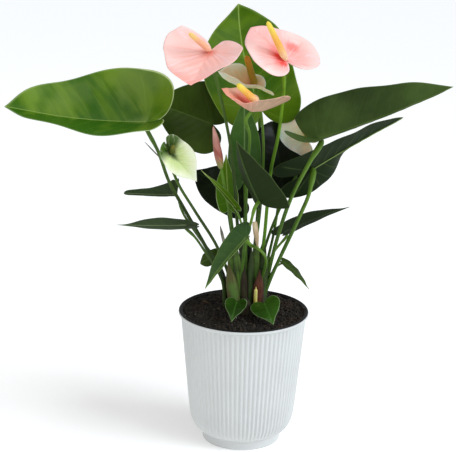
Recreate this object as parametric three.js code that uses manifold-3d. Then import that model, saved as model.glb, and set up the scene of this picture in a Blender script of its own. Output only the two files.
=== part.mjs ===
// A potted anthurium: a ribbed white pot, the black growing pot that hangs in its rim, the soil,
// and a plant of heart-shaped leaves and pink blooms whose stems stand in plain holes in the soil.
// Millimetres, +Z up, origin at the centre of the pot's foot on the surface, the front at -Y.

import * as THREE from "three";
import { mergeVertices } from "three/addons/utils/BufferGeometryUtils.js";
import Module from "manifold-3d";

const wasm = await Module();
wasm.setup();

// Clearances
const TOUCH_GAP = 0.3;
const HOLE_CLEARANCE = 0.8;
const HOLE_SIDES = 8;

// White outer pot
const FOOT_RADIUS = 42.5;
const FOOT_TOP = 8;
const POT_WALL = 3;
const POT_FLOOR = 7;
const POT_LIP_RADIUS = 68.3;
const POT_LIP_TOP = 143;
const RIB_COUNT = 72;
const RIB_DEPTH = 1.1;
const RIB_LOWEST = 16;
const RIB_HIGHEST = 134;
const LIP_STEP = 2;

// Black growing pot, hung by its flange on the outer pot's lip
const FLANGE_RADIUS = 70;
const FLANGE_THICKNESS = 3.8;
const FLANGE_INNER_RADIUS = 67.4;
const FLANGE_EDGE = 0.8;
const GROW_WALL = 1.3;
const GROW_TOP_RADIUS = 64.6;
const GROW_NECK_INSET = 0.2;
const GROW_FLOOR_RADIUS = 45;
const GROW_FLOOR_HEIGHT = 20;
const GROW_SIDES = 36;
const DRAIN_HOLES = 6;
const DRAIN_RADIUS = 4;
const DRAIN_CIRCLE = 31;
const DRAIN_SIDES = 8;

// Soil
const SOIL_EDGE_HEIGHT = 144.2;
const SOIL_MOUND = 5;
const SOIL_LUMP = 1.1;
const SOIL_RINGS = 5;
const ROOT_DEPTH_HEIGHT = 118;
const ROOT_MIDDLE_HEIGHT = 134;
const ROOT_STRAIGHT = 3;

// Blades and stems
const LEAF_EDGE_THICKNESS = 0.8;
const LEAF_HEART_THICKNESS = 1.8;
const SPATHE_EDGE_THICKNESS = 0.9;
const SPATHE_HEART_THICKNESS = 2;
const KNEE_LENGTH = 11;
const SEAT_GAP = 0.4;
const STEM_SIDES = 6;

// Colours
const LEAF_GREEN = "#2f5d1e";
const LEAF_DARK = "#1c3a1a";
const LEAF_BRIGHT = "#3f7a1f";
const STEM_GREEN = "#5f8c34";
const SPATHE_PINK = "#f6b3ae";
const SPATHE_CREAM = "#e9d9c0";
const SPATHE_GREEN = "#a9c48b";
const SPADIX_YELLOW = "#f2c94c";
const SPADIX_OLIVE = "#b98a2a";
const BUD_PINK = "#e58f8d";
const SHEATH_OLIVE = "#6d7440";
const SHEATH_RED = "#7a3a22";
const BRACT_BEIGE = "#c9a47c";
const SHOOT_YELLOW = "#d9d27a";
const SOIL_BROWN = "#2b2019";
const POT_BLACK = "#141414";
const POT_WHITE = "#e9eaea";

const plant = new THREE.Group();

function vector([x, y, z]) {
  return new THREE.Vector3(x, y, z);
}

function addPiece(name, geometry, color, roughness = 0.55) {
  geometry.computeVertexNormals();
  const material = new THREE.MeshStandardMaterial({ color, roughness, metalness: 0 });
  const piece = new THREE.Mesh(geometry, material);
  piece.name = name;
  plant.add(piece);
}

// Joining and cutting closed solids

function toSolid(geometry) {
  const bare = geometry.clone();
  bare.deleteAttribute("normal");
  bare.deleteAttribute("uv");
  const welded = mergeVertices(bare, 1e-4);
  return new wasm.Manifold(new wasm.Mesh({
    numProp: 3,
    vertProperties: new Float32Array(welded.getAttribute("position").array),
    triVerts: new Uint32Array(welded.getIndex().array),
  }));
}

function toGeometry(solid) {
  const mesh = solid.getMesh();
  const geometry = new THREE.BufferGeometry();
  geometry.setAttribute("position", new THREE.BufferAttribute(mesh.vertProperties, 3));
  geometry.setIndex(new THREE.BufferAttribute(mesh.triVerts, 1));
  return geometry;
}

// Outline of a heart-shaped blade, once round from the tip: x in half widths, y in blade lengths.
// One half is three curves: tip to shoulder, shoulder to the foot of the lobe, lobe to the sinus.

const LEFT = 0;
const RIGHT = 1;
const TIP_STEPS = 0.5;
const SHOULDER_STEPS = 0.28;

function halfOutline(shape, side) {
  const { shoulder, lobeSpread, sinus, tipFullness } = shape;
  const lobe = shape.lobe[side];
  const point = (x, y) => new THREE.Vector2(x, y);
  const rise = 1 - shoulder;
  return [
    new THREE.CubicBezierCurve(
      point(0, 1), point(tipFullness, 1 - 0.32 * rise), point(1, shoulder + 0.5 * rise), point(1, shoulder)),
    new THREE.CubicBezierCurve(
      point(1, shoulder), point(1, shoulder - 0.62 * (shoulder + lobe)),
      point(lobeSpread + 0.34, -lobe), point(lobeSpread, -lobe)),
    new THREE.CubicBezierCurve(
      point(lobeSpread, -lobe), point(lobeSpread - 0.3, -lobe), point(0.08, -lobe * 0.55), point(0, -sinus)),
  ];
}

function halfPoint(shape, side, t) {
  const [tip, shoulder, lobe] = halfOutline(shape, side);
  if (t < TIP_STEPS) return tip.getPoint(t / TIP_STEPS);
  if (t < TIP_STEPS + SHOULDER_STEPS) return shoulder.getPoint((t - TIP_STEPS) / SHOULDER_STEPS);
  return lobe.getPoint((t - TIP_STEPS - SHOULDER_STEPS) / (1 - TIP_STEPS - SHOULDER_STEPS));
}

function heartOutline(shape, perHalf) {
  const outline = [];
  for (let i = 0; i <= perHalf; i += 1) outline.push(halfPoint(shape, RIGHT, i / perHalf));
  for (let i = perHalf - 1; i > 0; i -= 1) {
    const mirrored = halfPoint(shape, LEFT, i / perHalf);
    outline.push(new THREE.Vector2(-mirrored.x, mirrored.y));
  }
  return outline;
}

// A blade's frame: along the midrib from its attachment to its tip, across, and out of its upper face.

function bladeFrame(blade) {
  const start = vector(blade.attach);
  const along = vector(blade.tip).sub(start);
  const length = along.length();
  along.normalize();
  const facing = vector(blade.facing);
  const normal = facing.addScaledVector(along, -facing.dot(along)).normalize();
  const across = new THREE.Vector3().crossVectors(along, normal);
  return { start, along, across, normal, length };
}

// The blade's middle surface: a fold along the midrib that may change towards the tip, an arch, a
// sideways bend, a cup, raised lobes and edge waves.

function archAt(t) {
  return t >= 0 ? 4 * t * (1 - t) : 4 * t / (1 - 6 * t);
}

function bladeSurface(blade, frame, x, y, ring) {
  const t = y / frame.length;
  const arc = archAt(t);
  const halfWidth = blade.width / 2;
  const side = x < 0 ? LEFT : RIGHT;
  const turned = THREE.MathUtils.smoothstep(t, ...blade.foldTurns);
  const foldDegrees = THREE.MathUtils.lerp(blade.fold[side], (blade.foldTip ?? blade.fold)[side], turned);
  const fold = THREE.MathUtils.degToRad(foldDegrees);
  const reach = Math.abs(x);
  const wave = blade.wave * ring ** 3 * Math.sin(2 * Math.PI * blade.waves * t + blade.phase[side]);
  const lobeRise = t < 0 ? blade.lobeLift[side] * (t / blade.lobe[side]) ** 2 : 0;
  const cup = reach * Math.sin(fold) - blade.curl * (reach / halfWidth) ** 2;
  const height = blade.arch * arc + lobeRise + cup + wave;
  const sideways = x * Math.cos(fold) + blade.bend * arc;
  return frame.start.clone()
    .addScaledVector(frame.along, y)
    .addScaledVector(frame.across, sideways)
    .addScaledVector(frame.normal, height);
}

const SLOPE_STEP = 0.5;

function bladeNormal(blade, frame, x, y, ring) {
    const dx = bladeSurface(blade, frame, x + SLOPE_STEP, y, ring)
    .sub(bladeSurface(blade, frame, x - SLOPE_STEP, y, ring));
  const dy = bladeSurface(blade, frame, x, y + SLOPE_STEP, ring)
    .sub(bladeSurface(blade, frame, x, y - SLOPE_STEP, ring));
  return dx.cross(dy).normalize();
}

// A closed blade: the same triangles on both faces, thin at the edge and thicker at the petiole.

const LARGE_RINGS = [0.24, 0.52, 0.79, 1];
const SMALL_RINGS = [0.35, 0.72, 1];
const LARGE_OUTLINE = 12;

function bladeGeometry(blade, edgeThickness, heartThickness) {
  const rings = blade.perHalf >= LARGE_OUTLINE ? LARGE_RINGS : SMALL_RINGS;
  const frame = bladeFrame(blade);
  const outline = heartOutline(blade, blade.perHalf);
  const count = outline.length;
  const positions = [];
  const addPair = (x, y, ring) => {
    const middle = bladeSurface(blade, frame, x, y, ring);
    const normal = bladeNormal(blade, frame, x, y, ring);
    const half = THREE.MathUtils.lerp(heartThickness, edgeThickness, Math.sqrt(ring)) / 2;
    positions.push(...middle.clone().addScaledVector(normal, half).toArray());
    positions.push(...middle.clone().addScaledVector(normal, -half).toArray());
  };
  addPair(0, 0, 0);
  for (const ring of rings) {
    for (const p of outline) addPair(p.x * ring * blade.width / 2, p.y * ring * frame.length, ring);
  }
  const upper = (ring, i) => 2 + 2 * (ring * count + i % count);
  const faces = [];
  const addFace = (a, b, c) => faces.push(a, c, b, a + 1, b + 1, c + 1);
  for (let i = 0; i < count; i += 1) {
    addFace(0, upper(0, i), upper(0, i + 1));
    for (let ring = 0; ring < rings.length - 1; ring += 1) {
      addFace(upper(ring, i), upper(ring + 1, i), upper(ring + 1, i + 1));
      addFace(upper(ring, i), upper(ring + 1, i + 1), upper(ring, i + 1));
    }
    const edge = upper(rings.length - 1, i);
    const next = upper(rings.length - 1, i + 1);
    faces.push(edge, next, edge + 1, next, next + 1, edge + 1);
  }
  const geometry = new THREE.BufferGeometry();
  geometry.setAttribute("position", new THREE.Float32BufferAttribute(positions, 3));
  geometry.setIndex(faces);
  return geometry;
}

// A stem: a round section along a smooth path, with a thickness that changes along it.

function stemGeometry(points, radiusAt, steps, sides = STEM_SIDES) {
  const path = new THREE.CatmullRomCurve3(points, false, "centripetal");
  const section = new THREE.Shape();
  for (let i = 0; i < sides; i += 1) {
    const turn = 2 * Math.PI * i / sides;
    if (i === 0) section.moveTo(1, 0);
    else section.lineTo(Math.cos(turn), Math.sin(turn));
  }
  section.closePath();
  const geometry = new THREE.ExtrudeGeometry(section, { steps, bevelEnabled: false, extrudePath: path });
  const centres = path.getSpacedPoints(steps);
  const position = geometry.getAttribute("position");
  const vertex = new THREE.Vector3();
  for (let i = 0; i < position.count; i += 1) {
    vertex.fromBufferAttribute(position, i);
    let nearest = 0;
    centres.forEach((centre, k) => {
      if (centre.distanceToSquared(vertex) < centres[nearest].distanceToSquared(vertex)) nearest = k;
    });
    const centre = centres[nearest];
    vertex.sub(centre).multiplyScalar(radiusAt(nearest / steps)).add(centre);
    position.setXYZ(i, vertex.x, vertex.y, vertex.z);
  }
  return geometry;
}

// The soil's top: a low mound with lumps, higher at the crown than at the wall.

function soilHeight(x, y) {
  const reach = Math.hypot(x, y) / GROW_TOP_RADIUS;
  const lumps = Math.sin(x * 0.31 + 1.3) * Math.sin(y * 0.27 + 0.4) + 0.6 * Math.sin(x * 0.13 - y * 0.21);
  const level = THREE.MathUtils.clamp(1.6 - 1.6 * reach, 0, 1);
  return SOIL_EDGE_HEIGHT + SOIL_MOUND * Math.max(0, 1 - reach * reach) + SOIL_LUMP * lumps * level;
}

const holes = [];

function rootPoints(root) {
  const [x, y] = root;
  const heights = [ROOT_DEPTH_HEIGHT, ROOT_MIDDLE_HEIGHT, soilHeight(x, y) + ROOT_STRAIGHT];
  return heights.map((z) => new THREE.Vector3(x, y, z));
}

function digHole(root, radius) {
  const depth = SOIL_EDGE_HEIGHT + SOIL_MOUND * 3 - ROOT_DEPTH_HEIGHT;
  const reach = radius + HOLE_CLEARANCE;
  const hole = new THREE.CylinderGeometry(reach, reach, depth, HOLE_SIDES);
  hole.rotateX(Math.PI / 2);
  hole.translate(root[0], root[1], ROOT_DEPTH_HEIGHT - TOUCH_GAP + depth / 2);
  holes.push(toSolid(hole));
}

// A petiole or peduncle: from its hole in the soil up to the underside of its blade.

function stalkPoints(stalk, blade, heartThickness) {
  const frame = bladeFrame(blade);
  const down = bladeNormal(blade, frame, 0, 0, 0).negate();
  const seat = frame.start.clone().addScaledVector(down, heartThickness / 2 + SEAT_GAP);
  const knee = frame.start.clone().addScaledVector(down, KNEE_LENGTH);
  return [...rootPoints(stalk.root), ...stalk.via.map(vector), knee, seat];
}

const KNEE_START = 0.9;
const KNEE_SWELL = 1.25;
const STALK_TAPER = { foot: 1.15, top: 0.9 };

function stalkGeometry(stalk, blade, heartThickness) {
  const points = stalkPoints(stalk, blade, heartThickness);
  const radiusAt = (t) => {
    const taper = THREE.MathUtils.lerp(STALK_TAPER.foot, STALK_TAPER.top, t);
    return stalk.radius * (t > KNEE_START ? taper * KNEE_SWELL : taper);
  };
  digHole(stalk.root, stalk.radius * STALK_TAPER.foot);
  return stemGeometry(points, radiusAt, stalk.steps);
}

// Leaves. Each is placed by its attachment, its tip and the way its upper face looks; fold is the
// degrees that its left and right halves rise from flat, and arch, bend, curl and wave are sizes.

const PLAIN_FORM = { bend: 0, curl: 0, lobeLift: [0, 0], foldTurns: [0, 1] };
const LEAF_SHAPE = { shoulder: 0.12, lobe: [0.24, 0.24], lobeSpread: 0.5, sinus: 0.03, tipFullness: 0.2 };
const LEAF_DEFAULTS = {
  ...LEAF_SHAPE, ...PLAIN_FORM, fold: [15, 15], arch: 4, wave: 1, waves: 3, phase: [0, 1.7],
  perHalf: 10, color: LEAF_GREEN,
};

const LEAVES = [
  { name: "far_left", attach: [-106, -12, 354], tip: [-249, -30, 372], facing: [0, -0.36, 0.93], width: 122,
    fold: [18, 24], arch: 4, wave: 2.4, waves: 2, phase: [0.5, -2.6], perHalf: 13, lobe: [0.04, 0.2],
    color: LEAF_BRIGHT,
    stalk: { root: [-15, 6], radius: 1.7, steps: 13,
      via: [[-17, 7, 164], [-38, 10, 206], [-66, 10, 256], [-83, 2, 287], [-95, -7, 319]] } },
  { name: "far_right", attach: [76, -8, 339], tip: [211, -5, 396], facing: [-0.3, -0.12, 0.95], width: 100,
    fold: [24, 18], arch: -2, wave: 1.6, perHalf: 13, tipFullness: 0.45, shoulder: 0.16,
    stalk: { root: [19, 3], radius: 1.8, steps: 12,
      via: [[22, -1, 169], [33, -14, 229], [47, -28, 282], [61, -28, 318]] } },
  { name: "top_back", attach: [13, 45, 361], tip: [-12, 115, 458], facing: [0.1, -0.85, 0.5], width: 98,
    fold: [14, 14], arch: -3, bend: -5, wave: 1.4, perHalf: 13, lobe: [0.2, 0.2], tipFullness: 0.85,
    shoulder: 0.3, color: LEAF_BRIGHT,
    stalk: { root: [9, 15], radius: 1.7, steps: 11, via: [[9, 18, 180], [14, 38, 260], [15, 58, 314]] } },
  { name: "back_left", attach: [-39, 40, 342], tip: [-108, 58, 362], facing: [0, -0.85, 0.5], width: 84,
    fold: [10, 10], arch: 3, color: LEAF_DARK,
    stalk: { root: [-8, 19], radius: 1.6, steps: 10, via: [[-8, 20, 180], [-17, 28, 239], [-28, 40, 300]] } },
  { name: "low_back", attach: [-4, 58, 257], tip: [-58, 76, 281], facing: [0, -0.9, 0.4], width: 54,
    fold: [10, 10], arch: 3, perHalf: 9, color: LEAF_DARK,
    stalk: { root: [4, 22], radius: 1.5, steps: 8, via: [[4, 28, 180], [1, 48, 220]] } },
  { name: "front_upright", attach: [13, -44, 281], tip: [-12, -60, 348], facing: [0.5, 0.85, 0.2], width: 64,
    fold: [42, 42], arch: -3, perHalf: 10, color: LEAF_DARK,
    stalk: { root: [-5, -9], radius: 1.6, steps: 10, via: [[-3, -13, 190], [0, -32, 234], [5, -47, 259]] } },
  { name: "right_folded", attach: [69, 12, 301], tip: [167, 44, 352], facing: [-0.52, 0.84, 0.15], width: 62,
    fold: [0, -24], foldTip: [56, -20], foldTurns: [0.12, 0.34], arch: -3, wave: 1.2, perHalf: 13,
    lobe: [0.3, 0.24],
    stalk: { root: [17, -5], radius: 1.9, steps: 11,
      via: [[24, -7, 175], [37, -10, 211], [53, -11, 260], [62, -8, 281]] } },
  { name: "back_right", attach: [39, 44, 283], tip: [26, 62, 341], facing: [0.3, -0.9, 0.3], width: 42,
    fold: [14, 14], arch: 3, perHalf: 9, color: LEAF_DARK,
    stalk: { root: [17, 16], radius: 1.5, steps: 9, via: [[23, 22, 185], [32, 39, 225], [36, 52, 255]] } },
  { name: "back_centre", attach: [-2, 20, 294], tip: [-4, 13, 374], facing: [0, -1, 0.1], width: 36,
    fold: [14, 14], arch: 3, perHalf: 9, tipFullness: 0.7, color: LEAF_BRIGHT,
    stalk: { root: [0, 14], radius: 1.5, steps: 9, via: [[0, 16, 186], [0, 22, 235], [-1, 26, 268]] } },
  { name: "low_right", attach: [43, 18, 229], tip: [111, 14, 260], facing: [-0.3, -0.2, 0.95], width: 34,
    fold: [14, 14], arch: 2, perHalf: 9, lobe: [0.18, 0.18],
    stalk: { root: [17, 10], radius: 1.4, steps: 7, via: [[20, 12, 175], [31, 17, 206]] } },
  { name: "left_spoon", attach: [-76, 34, 264], tip: [-131, 26, 267], facing: [0, -0.2, 0.98], width: 30,
    fold: [10, 10], arch: 2, perHalf: 8, tipFullness: 0.75, lobe: [0.12, 0.12],
    stalk: { root: [-16, 13], radius: 1.4, steps: 9,
      via: [[-26, 16, 189], [-51, 26, 221], [-68, 33, 245]] } },
  { name: "low_left", attach: [-63, -8, 240], tip: [-134, -16, 242], facing: [0, -0.2, 0.98], width: 30,
    fold: [12, 12], arch: 2, perHalf: 8,
    stalk: { root: [-20, 1], radius: 1.4, steps: 7, via: [[-24, 0, 181], [-42, -4, 207], [-57, -8, 223]] } },
  { name: "front_hanging", attach: [0, -54, 243], tip: [-41, -71, 188], facing: [-0.5, -0.5, 0.7], width: 48,
    fold: [22, 22], arch: 8, perHalf: 10, lobe: [0.16, 0.16], color: LEAF_BRIGHT,
    stalk: { root: [12, -7], radius: 1.6, steps: 11,
      via: [[14, -8, 172], [19, -14, 190], [22, -28, 208], [20, -43, 222], [12, -54, 233]] } },
];

for (const entry of LEAVES) {
  const leaf = { ...LEAF_DEFAULTS, ...entry };
  const blade = bladeGeometry(leaf, LEAF_EDGE_THICKNESS, LEAF_HEART_THICKNESS);
  addPiece(`leaf_${leaf.name}`, blade, leaf.color, 0.4);
  addPiece(`petiole_${leaf.name}`, stalkGeometry(leaf.stalk, leaf, LEAF_HEART_THICKNESS), STEM_GREEN, 0.5);
}

// Small leaves: blade and petiole grew as one piece, so they are joined in one node.

const SMALL_LEAVES = [
  { name: "young_left", attach: [-34, 26, 197], tip: [-50, 36, 181], facing: [0, -0.8, 0.6], width: 17,
    fold: [10, 10], color: LEAF_DARK,
    stalk: { root: [-14, 20], radius: 1.1, steps: 6, via: [[-22, 22, 176]] } },
  { name: "young_right", attach: [39, 10, 198], tip: [70, 0, 171], facing: [0.6, -0.5, 0.6], width: 13,
    fold: [16, 16], color: LEAF_DARK,
    stalk: { root: [23, 11], radius: 1.1, steps: 6, via: [[27, 11, 176]] } },
  { name: "soil_left", attach: [-9, -29, 168], tip: [-13, -56, 153], facing: [0, -0.5, 0.86], width: 25,
    fold: [12, 12], lobe: [0.3, 0.3],
    stalk: { root: [-12, -23], radius: 1.1, steps: 6, via: [[-12, -24, 160]] } },
  { name: "soil_right", attach: [25, -27, 168], tip: [28, -57, 150], facing: [0, -0.5, 0.86], width: 34,
    fold: [10, 10], lobe: [0.3, 0.3],
    stalk: { root: [24, -20], radius: 1.1, steps: 6, via: [[24, -21, 160]] } },
  { name: "new_bright", attach: [-18, 9, 265], tip: [-22, 13, 316], facing: [-0.3, -0.9, 0.2], width: 26,
    fold: [20, 20], color: LEAF_BRIGHT,
    stalk: { root: [-6, 13], radius: 1.2, steps: 7, via: [[-8, 13, 190], [-14, 11, 238]] } },
  { name: "new_narrow", attach: [-11, -14, 265], tip: [-48, -8, 303], facing: [-0.3, -0.3, 0.9], width: 18,
    fold: [30, 30], color: LEAF_BRIGHT, lobe: [0.12, 0.12],
    stalk: { root: [3, 9], radius: 1.2, steps: 8, via: [[3, 5, 190], [-3, -7, 240]] } },
];

const SMALL_EDGE_THICKNESS = 0.7;
const SMALL_HEART_THICKNESS = 1.2;
const SMALL_STALK_SIDES = 5;

for (const entry of SMALL_LEAVES) {
  const leaf = { ...LEAF_DEFAULTS, arch: 2, wave: 0.4, perHalf: 6, ...entry };
  const blade = toSolid(bladeGeometry(leaf, SMALL_EDGE_THICKNESS, SMALL_HEART_THICKNESS));
  const points = [...rootPoints(leaf.stalk.root), ...leaf.stalk.via.map(vector), vector(leaf.attach)];
  const stalk = toSolid(stemGeometry(points, () => leaf.stalk.radius, leaf.stalk.steps, SMALL_STALK_SIDES));
  digHole(leaf.stalk.root, leaf.stalk.radius);
  addPiece(`leaf_${leaf.name}`, toGeometry(blade.add(stalk)), leaf.color, 0.4);
}

// Blooms: a heart-shaped spathe, the spadix that stands on it and the peduncle below it.

const SPATHE_SHAPE = { shoulder: 0.2, lobe: [0.36, 0.36], lobeSpread: 0.52, sinus: 0.04, tipFullness: 0.5 };
const SPATHE_DEFAULTS = {
  ...SPATHE_SHAPE, ...PLAIN_FORM, fold: [8, 8], arch: 5, curl: 4, wave: 1.2, waves: 2, phase: [0.5, 2.4],
  perHalf: 10, spadixLift: 2,
};
const SPADIX_BASE_RADIUS = 3.4;
const SPADIX_TIP_RADIUS = 1.9;
const SPADIX_SIDES = 10;
const SPADIX_ROWS = 10;
const SPADIX_ROUND_TOP = 0.12;
const SPADIX_LAST_ROW = 0.985;
const SPADIX_BLUNT = 0.05;
const SPADIX_FOOT = 0.3;
const SPADIX_FLARE = 5;
const FLORET_RELIEF = 0.45;

const BLOOMS = [
  { name: "left", attach: [-40, -20, 430], tip: [-58, -66, 404], facing: [-0.11, -0.46, 0.88], width: 90,
    fold: [32, 26], lobe: [0.46, 0.36], color: SPATHE_PINK,
    spadixTip: [-61, -40, 452], spadixColor: SPADIX_YELLOW,
    stalk: { root: [-3, 0], radius: 1.7, steps: 14,
      via: [[-2, 1, 190], [-8, -2, 236], [-14, -6, 303], [-19, -10, 338], [-32, -18, 396]] } },
  { name: "right", attach: [37, -20, 423], tip: [0, 8, 452], facing: [-0.12, -0.79, 0.6], width: 66,
    fold: [34, 8], lobe: [0.3, 0.46], color: SPATHE_PINK,
    spadixTip: [17, -32, 464], spadixLift: 1.4, spadixColor: SPADIX_YELLOW,
    stalk: { root: [11, 2], radius: 1.8, steps: 14,
      via: [[15, 2, 175], [20, -2, 226], [25, -10, 303], [32, -16, 346], [36, -18, 396]] } },
  { name: "centre", attach: [3, -34, 373], tip: [-28, -44, 397], facing: [0.3, -0.1, 0.95], width: 50,
    fold: [46, 30], foldTip: [4, 20], foldTurns: [-0.1, 0.4], arch: -3, curl: 2, lobe: [0.78, 0.5],
    lobeLift: [24, 12], color: SPATHE_PINK,
    spadixTip: [-10, -37, 401], spadixColor: SPADIX_YELLOW,
    stalk: { root: [2, -8], radius: 1.6, steps: 13,
      via: [[1, -8, 200], [0, -7, 262], [1, -8, 312], [2, -20, 344]] } },
  { name: "faded", attach: [7, 8, 389], tip: [-32, 0, 406], facing: [0.1, -0.6, 0.8], width: 46,
    fold: [18, 26], arch: -3, lobe: [0.4, 0.4], color: SPATHE_CREAM, spadixTip: [-3, 2, 423],
    spadixLift: 1.3, spadixColor: SPADIX_OLIVE,
    stalk: { root: [5, 7], radius: 1.5, steps: 13,
      via: [[9, 9, 190], [16, 11, 267], [17, 12, 330], [12, 11, 370]] } },
  { name: "green", attach: [-79, -25, 325], tip: [-52, -36, 298], facing: [0.2, -0.8, 0.6], width: 44,
    fold: [30, 14], arch: 2, lobe: [0.3, 0.2], color: SPATHE_GREEN, spadixTip: [-76, -40, 336],
    spadixLift: 1, spadixColor: SPADIX_YELLOW,
    stalk: { root: [-12, -3], radius: 1.6, steps: 11,
      via: [[-15, -3, 180], [-30, -8, 220], [-54, -18, 262], [-72, -24, 294]] } },
  { name: "cream", attach: [64, 28, 328], tip: [34, 34, 344], facing: [0, -0.8, 0.6], width: 32,
    fold: [16, 16], arch: 3, lobe: [0.3, 0.3], color: SPATHE_CREAM, spadixTip: [60, 22, 350],
    spadixColor: SPADIX_OLIVE,
    stalk: { root: [11, 22], radius: 1.5, steps: 11,
      via: [[13, 27, 170], [27, 30, 225], [42, 34, 263], [58, 35, 300]] } },
];

// A turned shape, made upright on the origin, set on its base and pointed along its own direction.

function standAlong(geometry, base, along) {
  geometry.applyQuaternion(new THREE.Quaternion().setFromUnitVectors(new THREE.Vector3(0, 1, 0), along));
  return geometry.translate(base.x, base.y, base.z);
}

// A spadix: a tapered finger covered in florets, every other one raised in each row.

function spadixRadius(t) {
  const intoTop = Math.max(0, (t - 1 + SPADIX_ROUND_TOP) / SPADIX_ROUND_TOP);
  const roundTop = Math.sqrt(Math.max(SPADIX_BLUNT, 1 - intoTop * intoTop));
  const narrowFoot = Math.min(1, SPADIX_FOOT + SPADIX_FLARE * t);
  return THREE.MathUtils.lerp(SPADIX_BASE_RADIUS, SPADIX_TIP_RADIUS, t) * roundTop * narrowFoot;
}

function spadixGeometry(base, tip) {
  const length = base.distanceTo(tip);
  const profile = [new THREE.Vector2(0, 0)];
  for (let row = 0; row <= SPADIX_ROWS; row += 1) {
    const t = row / SPADIX_ROWS;
    profile.push(new THREE.Vector2(spadixRadius(t), length * t * SPADIX_LAST_ROW));
  }
  profile.push(new THREE.Vector2(0, length));
  const geometry = new THREE.LatheGeometry(profile, SPADIX_SIDES);
  const position = geometry.getAttribute("position");
  for (let i = 0; i < position.count; i += 1) {
    const row = i % profile.length;
    const side = Math.floor(i / profile.length) % SPADIX_SIDES;
    if (row > 1 && row < SPADIX_ROWS && (row + side) % 2 === 0) {
      const reach = Math.hypot(position.getX(i), position.getZ(i));
      const grown = (reach + FLORET_RELIEF) / reach;
      position.setX(i, position.getX(i) * grown);
      position.setZ(i, position.getZ(i) * grown);
    }
  }
  return standAlong(geometry, base, tip.clone().sub(base).normalize());
}

for (const entry of BLOOMS) {
  const spathe = { ...SPATHE_DEFAULTS, ...entry };
  const frame = bladeFrame(spathe);
  const out = bladeNormal(spathe, frame, 0, 0, 0);
  const base = frame.start.clone().addScaledVector(out, SPATHE_HEART_THICKNESS / 2 + spathe.spadixLift);
  const blade = bladeGeometry(spathe, SPATHE_EDGE_THICKNESS, SPATHE_HEART_THICKNESS);
  addPiece(`spathe_${spathe.name}`, blade, spathe.color, 0.35);
  addPiece(`spadix_${spathe.name}`, spadixGeometry(base, vector(spathe.spadixTip)), spathe.spadixColor, 0.6);
  const peduncle = stalkGeometry(spathe.stalk, spathe, SPATHE_HEART_THICKNESS);
  addPiece(`peduncle_${spathe.name}`, peduncle, STEM_GREEN, 0.5);
}

// The bud: a spathe still rolled into a spindle, on a peduncle of its own.

const BUD = {
  base: [-27, -6, 305], tip: [-36, -6, 350], radius: 3.9, sides: 10,
  stalk: { root: [-8, 7], radius: 1.5, steps: 9, via: [[-9, 6, 200], [-15, 0, 242], [-23, -5, 285]] },
};
const BUD_PROFILE = [[0.42, 0], [0.72, 0.08], [0.96, 0.24], [1, 0.4], [0.84, 0.6], [0.55, 0.8], [0.2, 0.96]];

function budGeometry(bud) {
  const base = vector(bud.base);
  const along = vector(bud.tip).sub(base);
  const length = along.length();
  const profile = BUD_PROFILE.map(([r, t]) => new THREE.Vector2(r * bud.radius, t * length));
  const outline = [new THREE.Vector2(0, 0), ...profile, new THREE.Vector2(0, length)];
  return standAlong(new THREE.LatheGeometry(outline, bud.sides), base, along.normalize());
}

function budStalkGeometry(bud) {
  const base = vector(bud.base);
  const along = vector(bud.tip).sub(base).normalize();
  const seat = base.clone().addScaledVector(along, -TOUCH_GAP);
  const points = [...rootPoints(bud.stalk.root), ...bud.stalk.via.map(vector), seat];
  digHole(bud.stalk.root, bud.stalk.radius);
  return stemGeometry(points, () => bud.stalk.radius, bud.stalk.steps);
}

addPiece("bud", budGeometry(BUD), BUD_PINK, 0.4);
addPiece("peduncle_bud", budStalkGeometry(BUD), STEM_GREEN, 0.5);

// Sheaths and bracts at the crown: narrow cupped scales, set just clear of the soil and the stems.

const SCALE_SHAPE = { shoulder: 0.35, lobe: [0.02, 0.02], lobeSpread: 0.6, sinus: 0.01, tipFullness: 0.35 };
const SCALE_DEFAULTS = {
  ...SCALE_SHAPE, ...PLAIN_FORM, fold: [0, 0], arch: 0, wave: 0, waves: 1, phase: [0, 0], perHalf: 5,
};
const SCALE_THICKNESS = 0.9;
const SCALE_REST = 3.6;

function onSoil(x, y) {
  return [x, y, soilHeight(x, y) + SCALE_REST];
}

const SCALES = [
  { name: "sheath_left", attach: onSoil(-9, -19), tip: [-18, -17, 206], facing: [-0.1, -1, 0.1], width: 15,
    curl: 4, color: SHEATH_OLIVE },
  { name: "sheath_right", attach: onSoil(15, -14), tip: [16, -18, 199], facing: [0.1, -1, 0.1], width: 13,
    curl: 3.5, color: SHEATH_RED },
  { name: "bract", attach: [8.8, -48, 259], tip: [13, -46, 229], facing: [0, -1, 0.1], width: 6.5,
    curl: 0.8, color: BRACT_BEIGE },
];

for (const entry of SCALES) {
  const scale = { ...SCALE_DEFAULTS, ...entry };
  addPiece(scale.name, bladeGeometry(scale, SCALE_THICKNESS, SCALE_THICKNESS), scale.color, 0.7);
}

// A young shoot: a short blunt stub that breaks through the soil.

const SHOOT = { root: [7, -18], top: [9, -20, 180], radius: 2.1, steps: 7, bluntFrom: 0.9, bluntness: 0.45 };

function shootGeometry(shoot) {
  digHole(shoot.root, shoot.radius);
  const points = [...rootPoints(shoot.root), vector(shoot.top)];
  return stemGeometry(points, (t) => shoot.radius * (t > shoot.bluntFrom ? shoot.bluntness : 1), shoot.steps);
}

addPiece("shoot", shootGeometry(SHOOT), SHOOT_YELLOW, 0.5);

// Soil: a plug that fills the growing pot, lumpy on top, with a plain hole for every stem.

const GROW_RIM_UNDER = POT_LIP_TOP + TOUCH_GAP;
const GROW_RIM_TOP = GROW_RIM_UNDER + FLANGE_THICKNESS;
const GROW_FLOOR_TOP = GROW_FLOOR_HEIGHT + GROW_WALL;

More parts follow.
